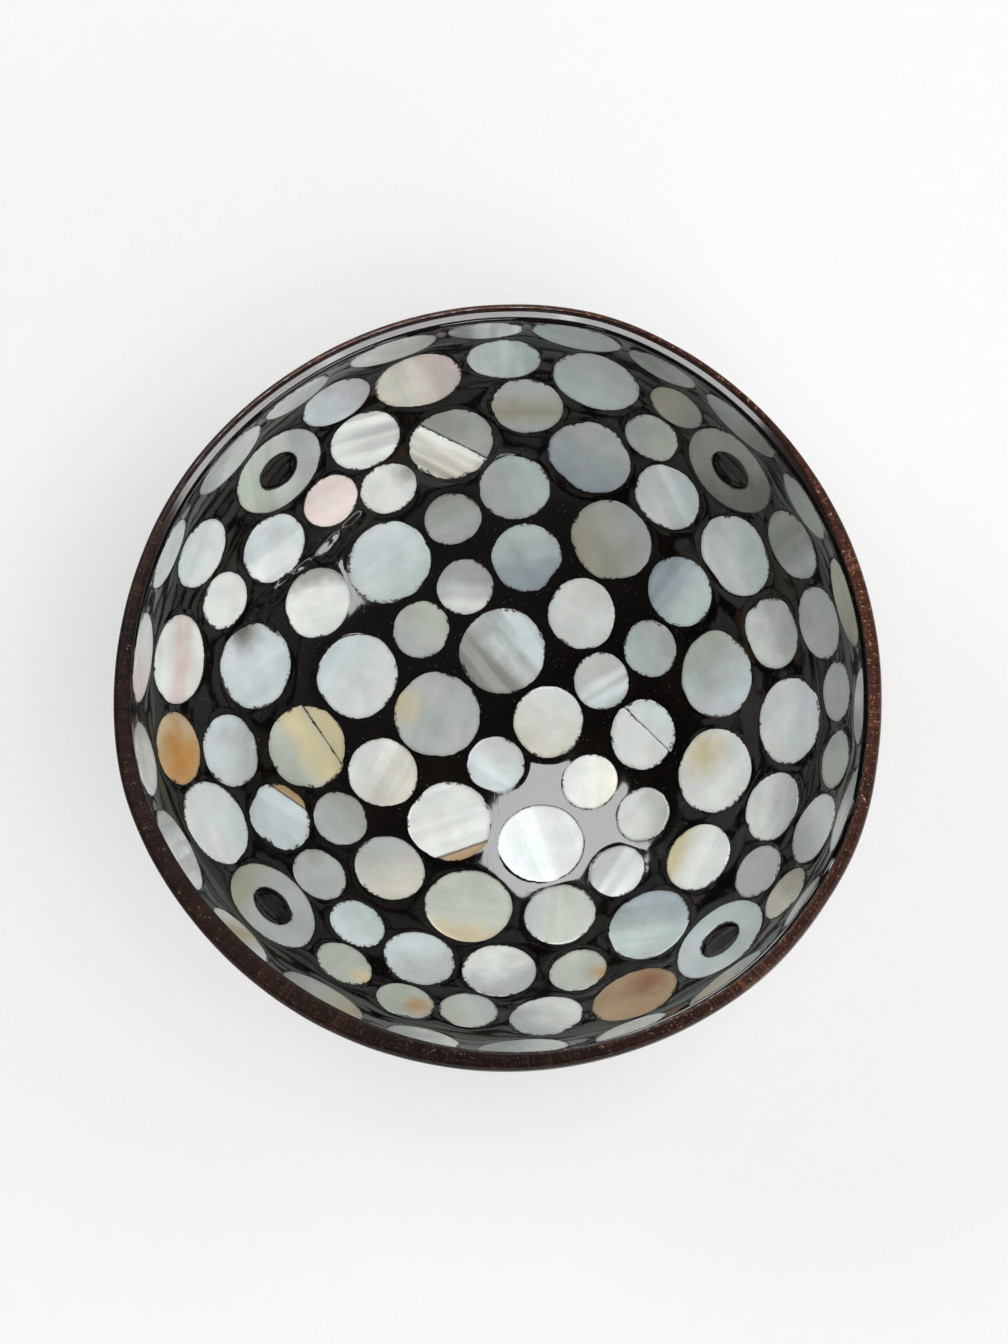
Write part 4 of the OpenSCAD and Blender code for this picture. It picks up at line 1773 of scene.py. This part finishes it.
LAMPS = (
    Lamp("key_softbox", 113, 47, 0.95, 0.8, 23.0, Role.SHINE),
    Lamp("window_lamp", 324, 60, 1.3, 0.3, 2.8, Role.SHINE),
    Lamp("top_softbox", 335, 14, 1.3, 0.9, 8.5, Role.LIGHT),
    Lamp("side_softbox", 32, 46, 1.3, 0.8, 4.9, Role.LIGHT),
    Lamp("left_fill", 142, 54, 1.3, 0.9, 6.6, Role.LIGHT),
    Lamp("front_fill", 308, 62, 1.3, 0.9, 3.9, Role.LIGHT),
    Lamp("left_strip", 240, 73, 1.5, 1.05, 8.3, Role.SHINE, 0.28),
    Lamp("middle_strip", 278, 73, 1.5, 1.05, 8.3, Role.SHINE, 0.28),
    Lamp("right_strip", 316, 73, 1.5, 1.05, 8.3, Role.SHINE, 0.28),
)


@dataclass
class Studio:
    """A plain pale floor and soft light."""

    floor_r: float = 5.0
    floor_gap: float = 0.05 * MM
    floor_sides: int = 96
    paper: str = "#f4f4f3"
    white: str = "#ffffff"
    glow_share: float = 0.52
    sky_low: float = 0.35
    sky_high: float = 0.06
    sky_sides: tuple[float, float] = (0.35, 2.6)
    window_turn: float = 308
    aim_z: float = 0.04

    def build(self) -> None:
        """Builds the floor, the sky and the lamps."""
        self._floor()
        self._sky()
        for lamp in LAMPS:
            self._hang(lamp)

    def _floor(self) -> None:
        """A round floor that shows nearly white and keeps the bowl's shadow."""
        points = self.floor_r * level_ways(full_turn(self.floor_sides))
        points[:, 2] = -self.floor_gap
        material, sheet = new_material("paper_floor")
        place = sheet.add("TexCoord").outputs["Object"]
        grain = sheet.ramp(sheet.noise(place, 240, 3), 0.3, 0.7, 0.985, 1.0)
        tone = sheet.shade(linear(self.paper)[:3], grain)
        paper = sheet.add("BsdfDiffuse", {"Color": tone})
        glow = sheet.add("Emission", {"Color": linear(self.white), "Strength": 1.0})
        path = sheet.add("LightPath")
        seen = sheet.math("MAXIMUM", path.outputs["Is Camera Ray"], path.outputs["Is Glossy Ray"])
        share = sheet.math("MULTIPLY", seen, self.glow_share)
        mixed = sheet.add("MixShader", {0: share, 1: paper.outputs[0], 2: glow.outputs[0]})
        sheet.add("OutputMaterial", {"Surface": mixed.outputs[0]})
        floor = make_piece("paper_floor", points, [tuple(range(self.floor_sides))], material)

    def _sky(self) -> None:
        """A soft sky, darker overhead, that shows white behind the floor."""
        world = bpy.data.worlds.new("studio_sky")
        world.use_nodes = True
        sheet = NodeSheet(world.node_tree)
        way = sheet.add("SeparateXYZ", {0: sheet.add("TexCoord").outputs["Generated"]})
        light = sheet.ramp(way.outputs[2], 0.12, 0.6, self.sky_low, self.sky_high)
        side = sheet.ramp(sheet.towards(way, self.window_turn), -0.7, 0.9, *self.sky_sides)
        light = sheet.math("MULTIPLY", light, side)
        path = sheet.add("LightPath")
        strength = sheet.math("MAXIMUM", light, path.outputs["Is Camera Ray"])
        sky = sheet.add("Background", {"Color": linear(self.white), "Strength": strength})
        sheet.add("OutputWorld", {"Surface": sky.outputs[0]})
        bpy.context.scene.world = world

    def _hang(self, lamp: Lamp) -> None:
        """Hangs a lamp over the bowl.

        Args:
            lamp: The lamp's place, size and role.
        """
        data = bpy.data.lights.new(lamp.name, "AREA")
        data.shape = "RECTANGLE" if lamp.narrow else "DISK"
        data.size = lamp.size
        if lamp.narrow:
            data.size_y = lamp.narrow
        data.energy = lamp.power
        light = bpy.data.objects.new(lamp.name, data)
        turn, lean = math.radians(lamp.azimuth), math.radians(lamp.tilt)
        way = Vector((math.sin(lean) * math.cos(turn), math.sin(lean) * math.sin(turn), math.cos(lean)))
        light.location = way * lamp.far + Vector((0, 0, self.aim_z))
        light.rotation_euler = way.to_track_quat("Z", "Y").to_euler()
        light.visible_glossy = lamp.role is Role.SHINE
        light.visible_diffuse = lamp.role is Role.LIGHT
        bpy.context.scene.collection.objects.link(light)


@dataclass
class PhotoCamera:
    """The camera, nearly straight above the bowl."""

    aim: tuple[float, float, float] = (0.0008, 0.0027, 0.058)
    far: float = 1.0
    lean_right: float = 2
    lean_down: float = 3
    lens: float = 166.07
    sensor_w: float = 36
    clip_end: float = 50

    def build(self) -> None:
        """Places the camera and makes it the scene's."""
        data = bpy.data.cameras.new("photo_camera")
        data.lens = self.lens
        data.sensor_width = self.sensor_w
        data.clip_end = self.clip_end
        camera = bpy.data.objects.new("photo_camera", data)
        lean = (math.tan(math.radians(self.lean_right)), -math.tan(math.radians(self.lean_down)), 1)
        way = Vector(lean).normalized()
        camera.location = Vector(self.aim) + way * self.far
        right = Vector((0, 1, 0)).cross(way).normalized()
        camera.rotation_euler = Matrix((right, way.cross(right), way)).transposed().to_euler()
        bpy.context.scene.collection.objects.link(camera)
        bpy.context.scene.camera = camera


def main() -> None:
    """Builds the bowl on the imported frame, then the studio and the camera."""
    logging.basicConfig(level=logging.INFO, format="%(name)s: %(message)s")
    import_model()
    bpy.context.scene.view_settings.view_transform = "Standard"
    form = BowlForm()
    effects = Effects()
    parts: tuple[SubAssembly, ...] = (CoconutShell(form), LacquerLining(form), NacreInlay(form))
    for part in parts:
        for piece in part.build(effects):
            LOG.info("%s: %d faces", piece.name, len(piece.data.polygons))
    Studio().build()
    PhotoCamera().build()


if __name__ == "__main__":
    main()
